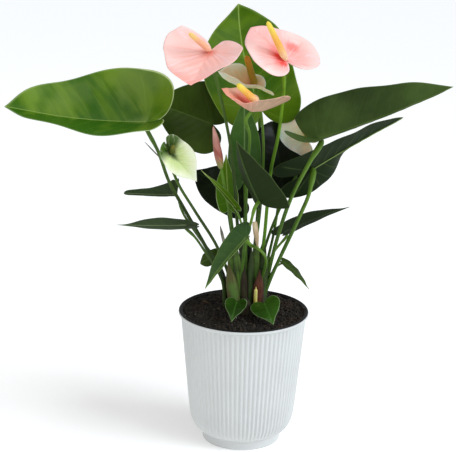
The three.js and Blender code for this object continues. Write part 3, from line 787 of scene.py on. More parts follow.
class Blade:
    """The surface of one blade, and the closed mesh made from it."""

    def __init__(self, shape: BladeShape, veins: VeinPlan) -> None:
        """Work out the blade's own axes.

        Args:
            shape: Place and form.
            veins: Veins and relief.
        """
        self.shape = shape
        self.veins = veins
        self.start = np.array(shape.attach, float)
        along = np.array(shape.tip, float) - self.start
        self.length = float(np.linalg.norm(along))
        self.along = along / self.length
        facing = np.array(shape.facing, float)
        self.normal = unit(facing - self.along * facing.dot(self.along))
        self.across = np.cross(self.along, self.normal)

    def half_outline(self, side: int, count: int) -> np.ndarray:
        """Sample one half of the outline, evenly spaced from tip to sinus.

        Args:
            side: Which half.
            count: Spaces between its points.

        Returns:
            Points in half widths and lengths.
        """
        s = self.shape
        lobe, low, full, spread = s.lobe[side], s.shoulder[side], s.tip_fullness[side], s.lobe_spread[side]
        rise = 1 - low
        waist = s.waist[side]
        turn = min(0.62 * (low + lobe) / (0.5 * rise), 0.3 / max(abs(waist), 0.3))
        curves = [
            [(0, 1), (full, 1 - 0.32 * rise * (1 - s.blunt)), (1 - waist, low + 0.5 * rise), (1, low)],
            [(1, low), (1 + turn * waist, low - turn * 0.5 * rise), (min(1, spread + 0.34), -lobe),
             (spread, -lobe)],
            [(spread, -lobe), (spread * 0.4, -lobe), (0.08, -lobe * 0.55), (0, -s.sinus)],
        ]
        shares = np.linspace(0, 1, OUTLINE_SAMPLES)
        dense = np.vstack([bezier(curve, shares) for curve in curves]) * (s.sides[side], 1)
        sized = dense * (s.width / 2, self.length)
        return evenly_spaced(dense, sized, count + 1)

    def outline(self, count: int) -> np.ndarray:
        """Sample the whole outline, once round from the tip.

        Args:
            count: Spaces in each half.

        Returns:
            Points in millimetres across and along.
        """
        right = self.half_outline(RIGHT, count)
        left = self.half_outline(LEFT, count)[1:-1][::-1] * (-1, 1)
        return np.vstack([right, left]) * (self.shape.width / 2, self.length)

    def surface(self, x: np.ndarray, y: np.ndarray, ring: np.ndarray) -> np.ndarray:
        """Find points of the blade's middle surface.

        Args:
            x: Millimetres across, to the right above zero.
            y: Millimetres along from the attachment.
            ring: Share of the way out to the edge.

        Returns:
            Points in millimetres.
        """
        s = self.shape
        t = y / self.length
        arc = np.where(t >= 0, 4 * t * (1 - t), 4 * t / (1 - 6 * np.minimum(t, 0)))
        half = s.width / 2
        right = x >= 0
        turned = smoothstep(t, *s.fold_turns)
        tips = s.fold_tip or s.fold
        folds = [np.radians(s.fold[k] + (tips[k] - s.fold[k]) * turned) for k in (LEFT, RIGHT)]
        fold = np.where(right, folds[RIGHT], folds[LEFT])
        reach = np.sqrt(x**2 + self.veins.crease**2) - self.veins.crease
        waves = [np.sin(2 * np.pi * s.waves * t + s.phase[k]) for k in (LEFT, RIGHT)]
        own = smoothstep(np.abs(x) / half, 0, 0.4)
        edge = np.where(right, waves[RIGHT], waves[LEFT])
        wave = s.wave * ring**3 * (own * edge + (1 - own) * sum(waves) / 2)
        lobes = [s.lobe_lift[k] * np.abs(np.minimum(t, 0) / s.lobe[k]) ** 1.5 for k in (LEFT, RIGHT)]
        rise = np.where(right, lobes[RIGHT], lobes[LEFT])
        height = s.arch * arc + rise + reach * np.sin(fold) - s.curl * (x / half) ** 2 + wave
        dent = ((x - s.dimple[0]) ** 2 + (y - s.dimple[1]) ** 2) / s.dimple_radius**2
        height = height - s.dimple[2] * np.exp(-(dent**2))
        sideways = x * np.cos(fold) + s.bend * arc
        return (
            self.start
            + y[..., None] * self.along
            + sideways[..., None] * self.across
            + height[..., None] * self.normal
        )

    def normals(self, x: np.ndarray, y: np.ndarray, ring: np.ndarray) -> np.ndarray:
        """Find the directions out of the upper face.

        Args:
            x: Millimetres across.
            y: Millimetres along.
            ring: Share of the way out to the edge.

        Returns:
            Directions of length one.
        """
        step = 0.5
        dx = self.surface(x + step, y, ring) - self.surface(x - step, y, ring)
        dy = self.surface(x, y + step, ring) - self.surface(x, y - step, ring)
        return unit(np.cross(dx, dy))

    def seat(self, below: float) -> tuple[np.ndarray, np.ndarray]:
        """Find where a stalk meets the underside.

        Args:
            below: Distance of the first point under the blade.

        Returns:
            A point below the attachment, and the point where the stalk ends.
        """
        zero = np.zeros(1)
        down = -self.normals(zero, zero, zero)[0]
        return self.start + down * below, self.start + down * (self.shape.heart / 2 + STALK_GAP)

    def vein_phase(self, x: np.ndarray, y: np.ndarray) -> np.ndarray:
        """Number the veins: each lies where the result is a whole number.

        Args:
            x: Millimetres across.
            y: Millimetres along.

        Returns:
            Above zero on the blade's length, below zero on its lobes.
        """
        plan = self.veins
        out = np.abs(x)
        rise = y - plan.slant * out - plan.sweep * out**2 / self.shape.width
        fan = np.arctan2(-rise, np.maximum(out, 1e-3)) / (np.pi / 2)
        return np.where(rise >= 0, plan.laterals * rise / self.length, -plan.basal * fan)

    def relief(self, x: np.ndarray, y: np.ndarray, ring: np.ndarray, upper: bool) -> np.ndarray:
        """Find how far a face stands out over its plain surface.

        Args:
            x: Millimetres across.
            y: Millimetres along.
            ring: Share of the way out to the edge.
            upper: Whether it is the upper face.

        Returns:
            Millimetres outwards.
        """
        plan = self.veins
        phase = self.vein_phase(x, y)
        between = 0.5 - 0.5 * np.cos(2 * np.pi * phase)
        fade = smoothstep(ring, 0.05, 0.3) * (1 - smoothstep(ring, 0.7, 0.97))
        near = np.abs(phase - np.round(phase))
        line = (1 - smoothstep(near, 0.0, 0.09)) * fade
        middle = (1 - smoothstep(np.abs(x), 0.2, 1.5)) * (1 - smoothstep(ring, 0.75, 1)) * (y > 0)
        if upper:
            return plan.quilt * (between - 0.5) * fade - plan.groove * line - plan.groove * middle
        return -plan.quilt * (between - 0.5) * fade + plan.groove * line + plan.rib * middle

    def build(self, name: str, cell: float) -> bpy.types.Object:
        """Make the closed blade, both faces and a rounded rim.

        Args:
            name: The piece's name.
            cell: Size of its faces in millimetres.

        Returns:
            The piece, with its place on the blade kept on every vertex.
        """
        s = self.shape
        girth = s.width + 2 * self.length
        count = 2 * max(FEWEST_SPACES, round(girth / 2 / cell / 2))
        rings = max(FEWEST_RINGS, round(s.width / 2 / cell))
        outline = self.outline(count)
        share = np.linspace(0, 1, rings + 1)[1:]
        x, y = disc_points(share, outline[:, 0], outline[:, 1])
        ring = np.concatenate([[0.0], np.repeat(share, len(outline))])
        middle = self.surface(x, y, ring)
        normal = self.normals(x, y, ring)
        half = (s.heart + (s.edge - s.heart) * np.sqrt(ring)) / 2
        half = half * np.where(ring > RIM_FROM, RIM_THINNESS, 1)
        upper = middle + normal * (half + self.relief(x, y, ring, True))[:, None]
        lower = middle - normal * (half + self.relief(x, y, ring, False))[:, None]
        around = len(outline)
        edge = middle[-around:]
        running = unit(np.roll(edge, -1, axis=0) - np.roll(edge, 1, axis=0))
        outwards = unit(np.cross(normal[-around:], running))
        rim = edge + outwards * s.edge / 2
        points = np.vstack([upper, lower, rim])
        faces = self.faces(around, rings)
        obj = mesh_object(name, points, faces)
        self.keep_places(obj, x, y, ring, around)
        return obj

    @staticmethod
    def faces(around: int, rings: int) -> np.ndarray:
        """List the triangles of both faces and the rim.

        Args:
            around: Points in a ring.
            rings: Rings from the attachment to the edge.

        Returns:
            Vertex indices, three a face.
        """
        i, j = ring_starts(around)
        sheet = 1 + rings * around
        top = disc_faces(around, rings)[:, ::-1]
        under = top[:, ::-1] + sheet
        last = 1 + (rings - 1) * around
        rim = 2 * sheet
        belt = [
            np.stack([last + i, last + j, rim + j], axis=1),
            np.stack([last + i, rim + j, rim + i], axis=1),
            np.stack([rim + i, rim + j, sheet + last + j], axis=1),
            np.stack([rim + i, sheet + last + j, sheet + last + i], axis=1),
        ]
        return np.vstack([top, under, *belt])

    def keep_places(
        self, obj: bpy.types.Object, x: np.ndarray, y: np.ndarray, ring: np.ndarray, around: int
    ) -> None:
        """Keep each vertex's place on the blade for the finish.

        Args:
            obj: The piece.
            x: Millimetres across.
            y: Millimetres along.
            ring: Share of the way out to the edge.
            around: Points in a ring.
        """
        half = self.shape.width / 2
        place = np.stack([y / self.length, x / half, ring], axis=1)
        phase = self.vein_phase(x, y)
        detail = [np.stack([phase, np.full(len(x), face), np.abs(x)], axis=1) for face in (0.0, 1.0)]
        rim = np.stack([phase[-around:], np.full(around, 0.5), np.abs(x[-around:])], axis=1)
        keep_vectors(obj, "blade", np.vstack([place, place, place[-around:]]))
        keep_vectors(obj, "detail", np.vstack([*detail, rim]))


# Finishes


MADE: dict[str, bpy.types.Material] = {}


@dataclass(frozen=True)
class Finish:
    """A finish with a name, made once as a material."""

    name: str

    def material(self) -> bpy.types.Material:
        """Give the material, and make it the first time."""
        if self.name not in MADE:
            MADE[self.name] = self.make()
        return MADE[self.name]

    def make(self) -> bpy.types.Material:
        """Make the material's nodes."""
        raise NotImplementedError


@dataclass(frozen=True)
class LeafFinish(Finish):
    """A glossy leaf: paler veins and margin, a bright heart, a dull underside, painted shade and light on its
    halves and ends, a painted sheen and painted edge highlights.
    """

    slot: str
    deep: str
    bright: str
    vein: str
    margin: str
    back: str
    gloss: float
    shine: float
    veining: float
    # The halves term paints shade on one half and light on the other; ends paints light on the lobes and the
    # tip.
    painted_shade_halves: Pair = (0, 0)
    ends: Pair = (0, 0)
    band: Pair = (0.4, 0.6)
    banding: float = 0.0
    # bloom is the tone of a painted grey-green sheen, laid in patches on the right half.
    bloom: str = "#6f8a5c"
    painted_sheen_share: float = 0.0
    # The pale margin is partly the leaf's own edge and partly a painted highlight where the edge curls up; it
    # is wider and stronger on the lobes.
    lobe_margin_and_highlight: float = 0.0
    rolled: float = 0.0

    def make(self) -> bpy.types.Material:
        """Make the material's nodes.

        Returns:
            The material.
        """
        g = Shader(self.name)
        along, side, ring = g.parts(g.attribute("blade"))
        phase, under, reach = g.parts(g.attribute("detail"))
        clouds = g.noise(g.place, scale=16, detail=3, rough=0.55)
        lateral = g.times(g.fall(g.off_vein(phase), 0.0, 0.05), g.fall(ring, 0.72, 0.97))
        middle = g.times(g.fall(reach, 0.35, 1.2), g.ease(along, -0.03, 0.0))
        veins = g.math("MAXIMUM", g.times(lateral, self.veining), middle)
        # Pale margin, partly the leaf's own edge and partly a painted highlight, wider on the lobes.
        margin = g.ease(g.plus(ring, g.ease(along, 0.1, -0.02, 0, self.rolled)), 0.98, 1.0)
        streaks = g.noise(g.joined(g.times(phase, 5), g.times(reach, 0.05), side), scale=1.6, detail=4)
        sweep = g.joined(g.times(phase, 0.9), g.times(reach, 0.015), g.times(side, 0.3))
        bands = g.ease(g.noise(sweep, scale=1.0, detail=2), *self.band)
        share = g.plus(g.times(g.ease(clouds, 0.36, 0.66), 0.65), g.times(streaks, 0.35))
        share = g.plus(share, g.times(g.minus(bands, 0.5), self.banding))
        # Painted shade and light: one half darker or lighter, the lobes and the tip lighter.
        share = g.plus(share, g.ease(side, -0.12, 0.12, *self.painted_shade_halves))
        share = g.plus(share, g.ease(along, 0.06, -0.12, 0.0, self.ends[0]))
        share = g.plus(share, g.ease(along, 0.5, 0.95, 0.0, self.ends[1]))
        # Painted sheen: grey-green patches of glossy reflection on the right half.
        painted_sheen_mask = g.times(g.ease(g.noise(g.place, scale=22, detail=2), 0.5, 0.68), g.ease(side, -0.1, 0.1))
        body = g.blend(share, tone(self.deep), tone(self.bright))
        body = g.tint(body, self.bloom, painted_sheen_mask, self.painted_sheen_share)
        body = g.tint(body, self.vein, g.fall(ring, 0.0, 0.2), 0.35)
        body = g.tint(body, self.vein, veins, 0.6)
        # The margin tint, stronger on the lobes, is partly a painted edge highlight.
        body = g.tint(body, self.margin, margin, g.ease(along, 0.3, 0.0, 0.3, 0.3 + self.lobe_margin_and_highlight))
        dull = g.blend(g.times(clouds, 0.8), tone(self.back), tone(self.deep))
        dull = g.tint(dull, self.vein, veins, 0.6)
        dull = g.tint(dull, self.margin, margin, 0.3)
        cells = g.add("ShaderNodeTexVoronoi", feature="DISTANCE_TO_EDGE")
        g.fill(cells, {"Vector": g.place, "Scale": 330.0})
        grain = g.noise(g.place, scale=420, detail=2)
        height = g.plus(g.times(g.ease(cells.outputs[0], 0.0, 0.12), 0.5), g.times(grain, 0.5))
        rough = g.plus(self.gloss, g.times(g.minus(clouds, 0.5), 0.2))
        return g.finish(
            Base_Color=g.blend(under, body, dull), Roughness=g.plus(rough, g.times(under, 0.22)),
            Normal=g.relief(height, 0.07), Specular_IOR_Level=self.shine, Subsurface_Weight=0.04,
            Subsurface_Radius=(0.3, 1.0, 0.15), Subsurface_Scale=0.001,
        )


@dataclass(frozen=True)
class SpatheFinish(Finish):
    """A waxy spathe: a deep heart that is partly painted shade, a pale edge, faint veins, paler streaks that
    are partly a painted sheen, painted shade in a dimple, and its own tone on the outside.
    """

    heart: str
    inside: str
    edge: str
    tip: str
    vein: str
    # The streak tone is partly the spathe's own streaking and partly a painted waxy sheen.
    streak_and_sheen: str
    outside: str
    outside_tip: str = "#e9b29c"
    foot: str = "#c8c183"
    lobes: str = "#fbd3cb"
    lobe_share: float = 0.0
    # The heart tone is partly the spathe's own deeper colour and partly painted shade near the spadix's foot
    # and in the fold.
    heart_and_shade_from: float = 0.0
    heart_and_shade_reach: float = 0.45
    heart_and_shade_sides: Pair = (1, 1)
    edge_from: float = 0.45
    # The spot is a painted shade in a dimple: place along, place across, and strength.
    spot: Vec = (0, 0, 0)
    dimple_shade_scale: Pair = (7.5, 4.7)
    streak_and_sheen_share: float = 0.35
    gloss: float = 0.3
    glow: float = 0.2

    def make(self) -> bpy.types.Material:
        """Make the material's nodes.

        Returns:
            The material.
        """
        g = Shader(self.name)
        along, side, ring = g.parts(g.attribute("blade"))
        phase, under, reach = g.parts(g.attribute("detail"))
        lateral = g.times(g.fall(g.off_vein(phase), 0.0, 0.1), g.fall(ring, 0.6, 0.95))
        middle = g.times(g.fall(reach, 0.2, 1.6), g.fall(ring, 0.3, 0.9))
        lines = g.math("MAXIMUM", g.times(lateral, 0.35), g.times(middle, 0.5))
        streaks = g.joined(g.times(phase, 4), g.times(ring, 1.2), side)
        streaks = g.noise(streaks, scale=1.5, detail=4, rough=0.6)
        clouds = g.noise(g.place, scale=35, detail=3, rough=0.55)
        mottle = g.times(g.minus(clouds, 0.5), 0.35)
        out, on = g.plus(ring, mottle), g.plus(along, mottle)
        # Deep heart: partly own colour, partly painted shade near the spadix's foot and in the fold.
        deep = g.fall(out, self.heart_and_shade_from, self.heart_and_shade_reach)
        deep = g.times(deep, g.ease(side, -0.15, 0.15, *self.heart_and_shade_sides))
        rim = g.blend(g.ease(along, 0.45, 0.95), tone(self.edge), tone(self.tip))
        # Painted shade in the dimple: the heart tone round the spot, fading outwards.
        places = zip((along, side), self.spot, self.dimple_shade_scale)
        from_dimple_shade = [g.times(g.minus(place, middle), scale) for place, middle, scale in places]
        dimple_shade_reach = g.vector("LENGTH", g.joined(*from_dimple_shade, 0.0))
        body = g.blend(deep, tone(self.inside), tone(self.heart))
        body = g.blend(g.ease(out, self.edge_from, 1.05), body, rim)
        body = g.tint(body, self.lobes, g.ease(on, 0.1, -0.15, 0.0, self.lobe_share))
        body = g.tint(body, self.heart, g.ease(dimple_shade_reach, 0.35, 1.1, self.spot[2], 0))
        body = g.tint(body, self.vein, lines)
        # Paler streaks, partly own colour and partly a painted sheen.
        body = g.tint(body, self.streak_and_sheen, g.ease(streaks, 0.52, 0.72), self.streak_and_sheen_share)
        outer = g.blend(g.ease(on, -0.1, 0.5), tone(self.outside), tone(self.outside_tip))
        outer = g.blend(g.ease(ring, 0.0, 0.35), tone(self.foot), outer)
        outer = g.tint(outer, self.edge, g.ease(streaks, 0.45, 0.7), 0.35)
        outer = g.tint(outer, self.foot, lines)
        grain, pucker = g.noise(g.place, scale=700, detail=2), g.noise(g.place, scale=120, detail=3)
        height = g.plus(g.times(grain, 0.3), g.times(pucker, 0.7))
        return g.finish(
            Base_Color=g.blend(under, body, outer), Roughness=g.plus(self.gloss, g.times(clouds, 0.15)),
            Normal=g.relief(height, 0.12), Specular_IOR_Level=0.45, Subsurface_Weight=self.glow,
            Subsurface_Radius=(1.0, 0.45, 0.35), Subsurface_Scale=0.01 * self.glow, Coat_Weight=0.12,
            Coat_Roughness=0.25,
        )


@dataclass(frozen=True)
class StemFinish(Finish):
    """A stem: its own tones at foot, middle and knee, with fine lines along it."""

    foot: str
    middle: str
    top: str
    line: str

    def make(self) -> bpy.types.Material:
        """Make the material's nodes.

        Returns:
            The material.
        """
        g = Shader(self.name)
        run, turn, _ = g.parts(g.attribute("stem"))
        around = g.joined(g.times(g.math("COSINE", turn), 1.5), g.math("SINE", turn), g.times(run, 1.2))
        lines = g.noise(around, scale=3, detail=4, rough=0.6)
        patches = g.noise(g.place, scale=60, detail=3)
        color = g.blend(g.ease(run, 0.08, 0.4), tone(self.foot), tone(self.middle))
        color = g.tint(color, self.top, g.ease(run, 0.55, 0.97))
        color = g.tint(color, self.line, g.ease(lines, 0.45, 0.72), 0.45)
        color = g.tint(color, self.foot, g.ease(patches, 0.55, 0.75), 0.4)
        return g.finish(
            Base_Color=color, Roughness=g.plus(0.38, g.times(patches, 0.15)), Normal=g.relief(lines, 0.1),
            Specular_IOR_Level=0.15, Subsurface_Weight=0.05, Subsurface_Radius=(0.4, 1.0, 0.2),
            Subsurface_Scale=0.001,
        )


@dataclass(frozen=True)
class SpadixFinish(Finish):
    """A spadix: pale at its foot, deeper in the middle, its own tone at the tip, with florets in rows and
    painted shade on the core between them.
    """

    foot: str
    middle: str
    tip: str
    pit_shade: str

    def make(self) -> bpy.types.Material:
        """Make the material's nodes.

        Returns:
            The material.
        """
        g = Shader(self.name)
        rise, crown, _ = g.parts(g.attribute("floret"))
        speck = g.noise(g.place, scale=900, detail=2)
        color = g.blend(g.ease(rise, 0.05, 0.45), tone(self.foot), tone(self.middle))
        color = g.tint(color, self.tip, g.ease(rise, 0.5, 0.92))
        # Painted shade: the core between the florets takes the darker pit tone.
        color = g.tint(color, self.pit_shade, g.fall(crown, 0.0, 0.75), 0.4)
        color = g.tint(color, self.tip, g.ease(speck, 0.5, 0.8), 0.3)
        return g.finish(
            Base_Color=color, Roughness=g.plus(0.5, g.times(speck, 0.2)), Normal=g.relief(speck, 0.05),
            Specular_IOR_Level=0.3, Subsurface_Weight=0.12, Subsurface_Radius=(1.0, 0.6, 0.2),
            Subsurface_Scale=0.001,
        )


@dataclass(frozen=True)
class SheathFinish(Finish):
    """A dry papery scale: fibres along it, from one tone to another with dark edges."""

    base: str
    dry: str
    fibre: str

    def make(self) -> bpy.types.Material:
        """Make the material's nodes.

        Returns:
            The material.
        """
        g = Shader(self.name)
        along, side, ring = g.parts(g.attribute("blade"))
        place = g.joined(g.times(side, 9), g.times(along, 1.1), 0.0)
        fibres = g.noise(place, scale=2.2, detail=5, rough=0.65)
        patches = g.noise(g.place, scale=70, detail=4, rough=0.6)
        aged = g.ease(g.plus(g.times(ring, 0.5), patches), 0.55, 1.0)
        color = g.blend(aged, tone(self.base), tone(self.dry))
        color = g.tint(color, self.fibre, g.ease(fibres, 0.5, 0.7), 0.6)
        return g.finish(
            Base_Color=color, Roughness=g.plus(0.55, g.times(patches, 0.25)), Normal=g.relief(fibres, 0.35),
            Specular_IOR_Level=0.3,
        )


@dataclass(frozen=True)
class SoilFinish(Finish):
    """Moist soil: nearly black, with brown and reddish crumbs."""

    dark: str = "#0e0c09"
    brown: str = "#2b251b"
    red: str = "#3d2a1c"
    grains: float = 260

    def make(self) -> bpy.types.Material:
        """Make the material's nodes.

        Returns:
            The material.
        """
        g = Shader(self.name)
        crumbs = g.noise(g.place, scale=self.grains, detail=5, rough=0.7)
        patches = g.noise(g.place, scale=55, detail=3)
        color = g.blend(g.ease(crumbs, 0.42, 0.66), tone(self.dark), tone(self.brown))
        color = g.tint(color, self.red, g.ease(patches, 0.56, 0.7), g.ease(crumbs, 0.45, 0.6))
        return g.finish(
            Base_Color=color, Roughness=g.plus(0.65, g.times(patches, 0.3)), Normal=g.relief(crumbs, 0.8),
            Specular_IOR_Level=0.3,
        )


@dataclass(frozen=True)
class PotFinish(Finish):
    """A moulded or fired wall: one tone with faint clouds, fine grain and small specks."""

    base: str = "#d0d3d2"
    shade: str = "#cacccb"
    speck: str = "#bfc2c3"
    gloss: float = 0.42
    shine: float = 0.4
    grain: float = 0.05

    def make(self) -> bpy.types.Material:
        """Make the material's nodes.

        Returns:
            The material.
        """
        g = Shader(self.name)
        clouds = g.noise(g.place, scale=12, detail=3)
        grain = g.noise(g.place, scale=1400, detail=3)
        specks = g.noise(g.place, scale=500, detail=2)
        color = g.blend(g.ease(clouds, 0.35, 0.65), tone(self.base), tone(self.shade))
        color = g.tint(color, self.speck, g.ease(specks, 0.68, 0.76), 0.5)
        return g.finish(
            Base_Color=color, Roughness=g.plus(self.gloss, g.times(g.minus(clouds, 0.5), 0.25)),
            Normal=g.relief(grain, self.grain), Specular_IOR_Level=self.shine,
        )


# Stems

ROOT_HEIGHTS = (118.0, 134.0)
ROOT_STRAIGHT = 3.0
STEM_POINTS = 150
KNEE_SPAN = 0.05
END_SPAN = (0.975, 1.0)
END_DRAW = 0.12
UNEVENNESS = 0.035
UNEVEN_TURNS = (23, 7)
FLARE_HEIGHTS = (4, 58)


class StemTree(GeometryTree):
    """Sweeps a round section of changing thickness along a path."""

    def __init__(self) -> None:
        """Build the tree: path to curve, thickness from the path's points, a round section swept along it."""
        super().__init__("Stem", {"Sides": "Int"})
        curve = self.run("GeometryNodeMeshToCurve", {"Mesh": self.given("Geometry")})
        turn = self.times(self.run("GeometryNodeSplineParameter", {}), 2 * math.pi)
        circle = self.keep(self.circle(self.given("Sides")), "turn", turn, "FLOAT")
        tube = self.swept(curve, circle, self.kept("thickness"))
        self.close(self.keep(tube, "stem", self.joined(self.kept("run"), self.kept("turn"), 0.0)))


@dataclass(frozen=True)
class Stalk:
    """A stem's course: where it stands in the soil, what it passes, and how thick it is."""

    root: Pair
    radius: float
    via: tuple[Vec, ...]
    sides: int = 20
    foot: float = 1.15
    top: float = 0.9
    knee: float = 1.32
    knee_from: float = 0.88
    flare: float = 0.75

    def points(self, ends: list[np.ndarray]) -> np.ndarray:
        """List what the stem passes, from below the soil to its top.

        Args:
            ends: The last points.

        Returns:
            The points in millimetres.
        """
        x, y = self.root
        heights = [*ROOT_HEIGHTS, float(SOIL.height(x, y)) + ROOT_STRAIGHT]
        return np.array([(x, y, z) for z in heights] + [tuple(p) for p in [*self.via, *ends]])

    def build(self, name: str, ends: list[np.ndarray], finish: Finish, tree: StemTree) -> bpy.types.Object:
        """Sweep the stem.

        Args:
            name: The piece's name.
            ends: The last points of its course.
            finish: Its finish.
            tree: The tree that sweeps stems.

        Returns:
            The piece.
        """
        path = smooth_path(self.points(ends), STEM_POINTS)
        run = np.linspace(0, 1, len(path))
        taper = self.foot + (self.top - self.foot) * run
        knee = 1 + (self.knee - 1) * smoothstep(run, self.knee_from, self.knee_from + KNEE_SPAN)
        knee *= 1 - END_DRAW * smoothstep(run, *END_SPAN)
        swings = [np.sin(run * turns + shift) for turns, shift in zip(UNEVEN_TURNS, self.root)]
        uneven = 1 + UNEVENNESS * swings[0] * swings[1]
        spread = 1 + self.flare * (1 - smoothstep(path[:, 2] - SOIL.edge_height, *FLARE_HEIGHTS))
        thickness = self.radius * taper * knee * uneven * spread * MM
        obj = path_object(name, path, {"thickness": thickness, "run": run})
        tree.grow(obj, finish.material(), {"Sides": self.sides})
        return obj


# Spadices

GOLDEN_ANGLE = 2.39996
DOME_FROM = 0.88
NARROW_FOOT = 0.42
CORE_POINTS = 48
CORE_SIDES = 28


class SpadixTree(GeometryTree):
    """Covers a tapered finger with florets in close spirals."""

    def __init__(self) -> None:
        """Build the tree: a core swept along the axis, and florets set on it by turn and height."""
        numbers = dict.fromkeys(("Floret Size", "Length", "Thick", "Thin"), "Float")
        super().__init__("Spadix", {**numbers, "Florets": "Int", "Base": "Vector", "Axis": "Vector"})
        core = self.core()
        florets = self.florets()
        both = self.add("GeometryNodeJoinGeometry")
        for part in (florets, core):
            self.put(both.inputs[0], part)
        aim = self.run("FunctionNodeAlignRotationToVector", {"Vector": self.given("Axis")}, axis="Z")
        placed = {"Geometry": both.outputs[0], "Translation": self.given("Base"), "Rotation": aim}
        self.close(self.run("GeometryNodeTransform", placed))

    def radius(self, rise: Socket) -> Socket:
        """Work out the finger's radius.

        Args:
            rise: Share of its height.

        Returns:
            The radius in metres.
        """
        drop = self.times(rise, self.minus(self.given("Thick"), self.given("Thin")))
        plain = self.minus(self.given("Thick"), drop)
        into = self.math("MAXIMUM", 0.0, self.over(self.minus(rise, DOME_FROM), 1 - DOME_FROM))
        dome = self.minus(1.0, self.math("POWER", into, 2.0))
        top = self.math("SQRT", self.math("MAXIMUM", 0.02, dome))
        foot = self.math("MINIMUM", 1.0, self.plus(NARROW_FOOT, self.times(rise, 4.5)))
        return self.times(self.times(plain, top), foot)

    def core(self) -> Socket:
        """Sweep the finger's core.

        Returns:
            The core, upright on the origin.
        """
        top = self.joined(0.0, 0.0, self.given("Length"))
        line = self.run("GeometryNodeCurvePrimitiveLine", {"End": top})
        line = self.run("GeometryNodeResampleCurve", {"Curve": line, "Count": CORE_POINTS})
        rise = self.run("GeometryNodeSplineParameter", {})
        line = self.keep(line, "floret", self.joined(rise, 0.0, 0.0))
        return self.swept(line, self.circle(CORE_SIDES), self.radius(rise))

    def florets(self) -> Socket:
        """Set the florets.

        Returns:
            The florets as instances, upright on the origin.
        """
        count = self.given("Florets")
        index = self.run("GeometryNodeInputIndex", {})
        rise = self.math("POWER", self.over(self.plus(index, 0.5), count), 0.93)
        turn = self.times(index, GOLDEN_ANGLE)
        radius = self.radius(rise)
        out = self.joined(self.math("COSINE", turn), self.math("SINE", turn), 0.0)
        spot = self.vector("SCALE", out, radius)
        spot = self.vector("ADD", spot, self.joined(0.0, 0.0, self.times(rise, self.given("Length"))))
        points = self.run("GeometryNodePoints", {"Count": count, "Position": spot})
        points = self.keep(points, "floret", self.joined(rise, 1.0, 0.0))
        bead = self.run("GeometryNodeMeshUVSphere", {"Segments": 6, "Rings": 4, "Radius": 1.0})
        aim = self.run("FunctionNodeAlignRotationToVector", {"Vector": out}, axis="Z")
        size = self.vector("SCALE", (1.0, 1.0, 0.62), self.given("Floret Size"))
        narrow = self.plus(0.45, self.times(self.over(radius, self.given("Thick")), 0.55))
        size = self.vector("SCALE", size, narrow)
        seated = {"Points": points, "Instance": bead, "Rotation": aim, "Scale": size}
        return self.run("GeometryNodeInstanceOnPoints", seated)


# Lathe


class LatheTree(GeometryTree):
    """Turns a profile round the upright axis and raises ribs on the marked part of it."""

    def __init__(self) -> None:
        """Build the tree: a grid whose rows are the profile's points and whose columns go round."""
        sizes = {"Columns": "Int", "Rows": "Int", "Ribs": "Float", "Rib Depth": "Float"}
        super().__init__("Lathe", sizes)
        columns = self.plus(self.given("Columns"), 1.0)
        grid = self.add("GeometryNodeMeshGrid")
        grid_sizes = {"Size X": 1.0, "Size Y": 1.0, "Vertices X": columns, "Vertices Y": self.given("Rows")}
        self.fill(grid, grid_sizes)
        index = self.run("GeometryNodeInputIndex", {})
        row = self.math("MODULO", index, self.given("Rows"))
        column = self.math("FLOOR", self.over(self.plus(index, 0.5), self.given("Rows")))
        turn = self.over(self.times(column, 2 * math.pi), self.given("Columns"))
        spot = self.sampled("FLOAT_VECTOR", self.add("GeometryNodeInputPosition").outputs[0], row)
        ribbed = self.sampled("FLOAT", self.kept("ribbed"), row)
        reach, _, height = self.parts(spot)
        swing = self.math("COSINE", self.times(turn, self.given("Ribs")))
        hollow = self.math("POWER", self.minus(0.5, self.times(swing, 0.5)), 1.6)
        cut = self.times(self.times(hollow, self.given("Rib Depth")), ribbed)
        reach = self.minus(reach, cut)
        place = self.joined(
            self.times(reach, self.math("COSINE", turn)),
            self.times(reach, self.math("SINE", turn)),
            height,
        )
        wall = self.run("GeometryNodeSetPosition", {"Geometry": grid.outputs["Mesh"], "Position": place})
        self.close(self.run("GeometryNodeMergeByDistance", {"Geometry": wall, "Distance": 1e-6}))

    def sampled(self, kind: str, value: Socket, row: Socket) -> Socket:
        """Read a value from the profile's point of a row.

        Args:
            kind: Data type.
            value: What to read there.
            row: The row.

        Returns:
            The value.
        """
        sizes = {"Geometry": self.given("Geometry"), "Value": value, "Index": row}
        return self.run("GeometryNodeSampleIndex", sizes, data_type=kind, domain="POINT")


@dataclass(frozen=True)
class Corner:
    """A corner of a turned profile: radius, height and how far it is rounded."""

    radius: float
    height: float
    rounding: float = 0.0


def rounded_profile(corners: list[Corner], step: float) -> np.ndarray:
    """Round a profile's corners and divide its straight parts.

    Args:
        corners: Its corners in order.
        step: Longest straight piece.

    Returns:
        Radius and height of each point.
    """
    flat = np.array([(c.radius, c.height) for c in corners])
    points = [flat[0]]
    for before, corner, after, size in zip(flat, flat[1:], flat[2:], corners[1:]):
        if size.rounding == 0:
            points.append(corner)
            continue
        back, ahead = unit(before - corner), unit(after - corner)
        start, end = corner + back * size.rounding, corner + ahead * size.rounding
        for t in np.linspace(0, 1, 5):
            points.append(start * (1 - t) ** 2 + 2 * corner * t * (1 - t) + end * t**2)
    points.append(flat[-1])
    fine = [points[0]]
    for a, b in zip(points, points[1:]):
        pieces = max(1, math.ceil(float(np.linalg.norm(b - a)) / step))
        fine += [a + (b - a) * k / pieces for k in range(1, pieces + 1)]
    return np.array(fine)


# Soil dressing

FULL_TURN = 6.28
TURN_SEED = 11
MANY_SMALL = 2.5


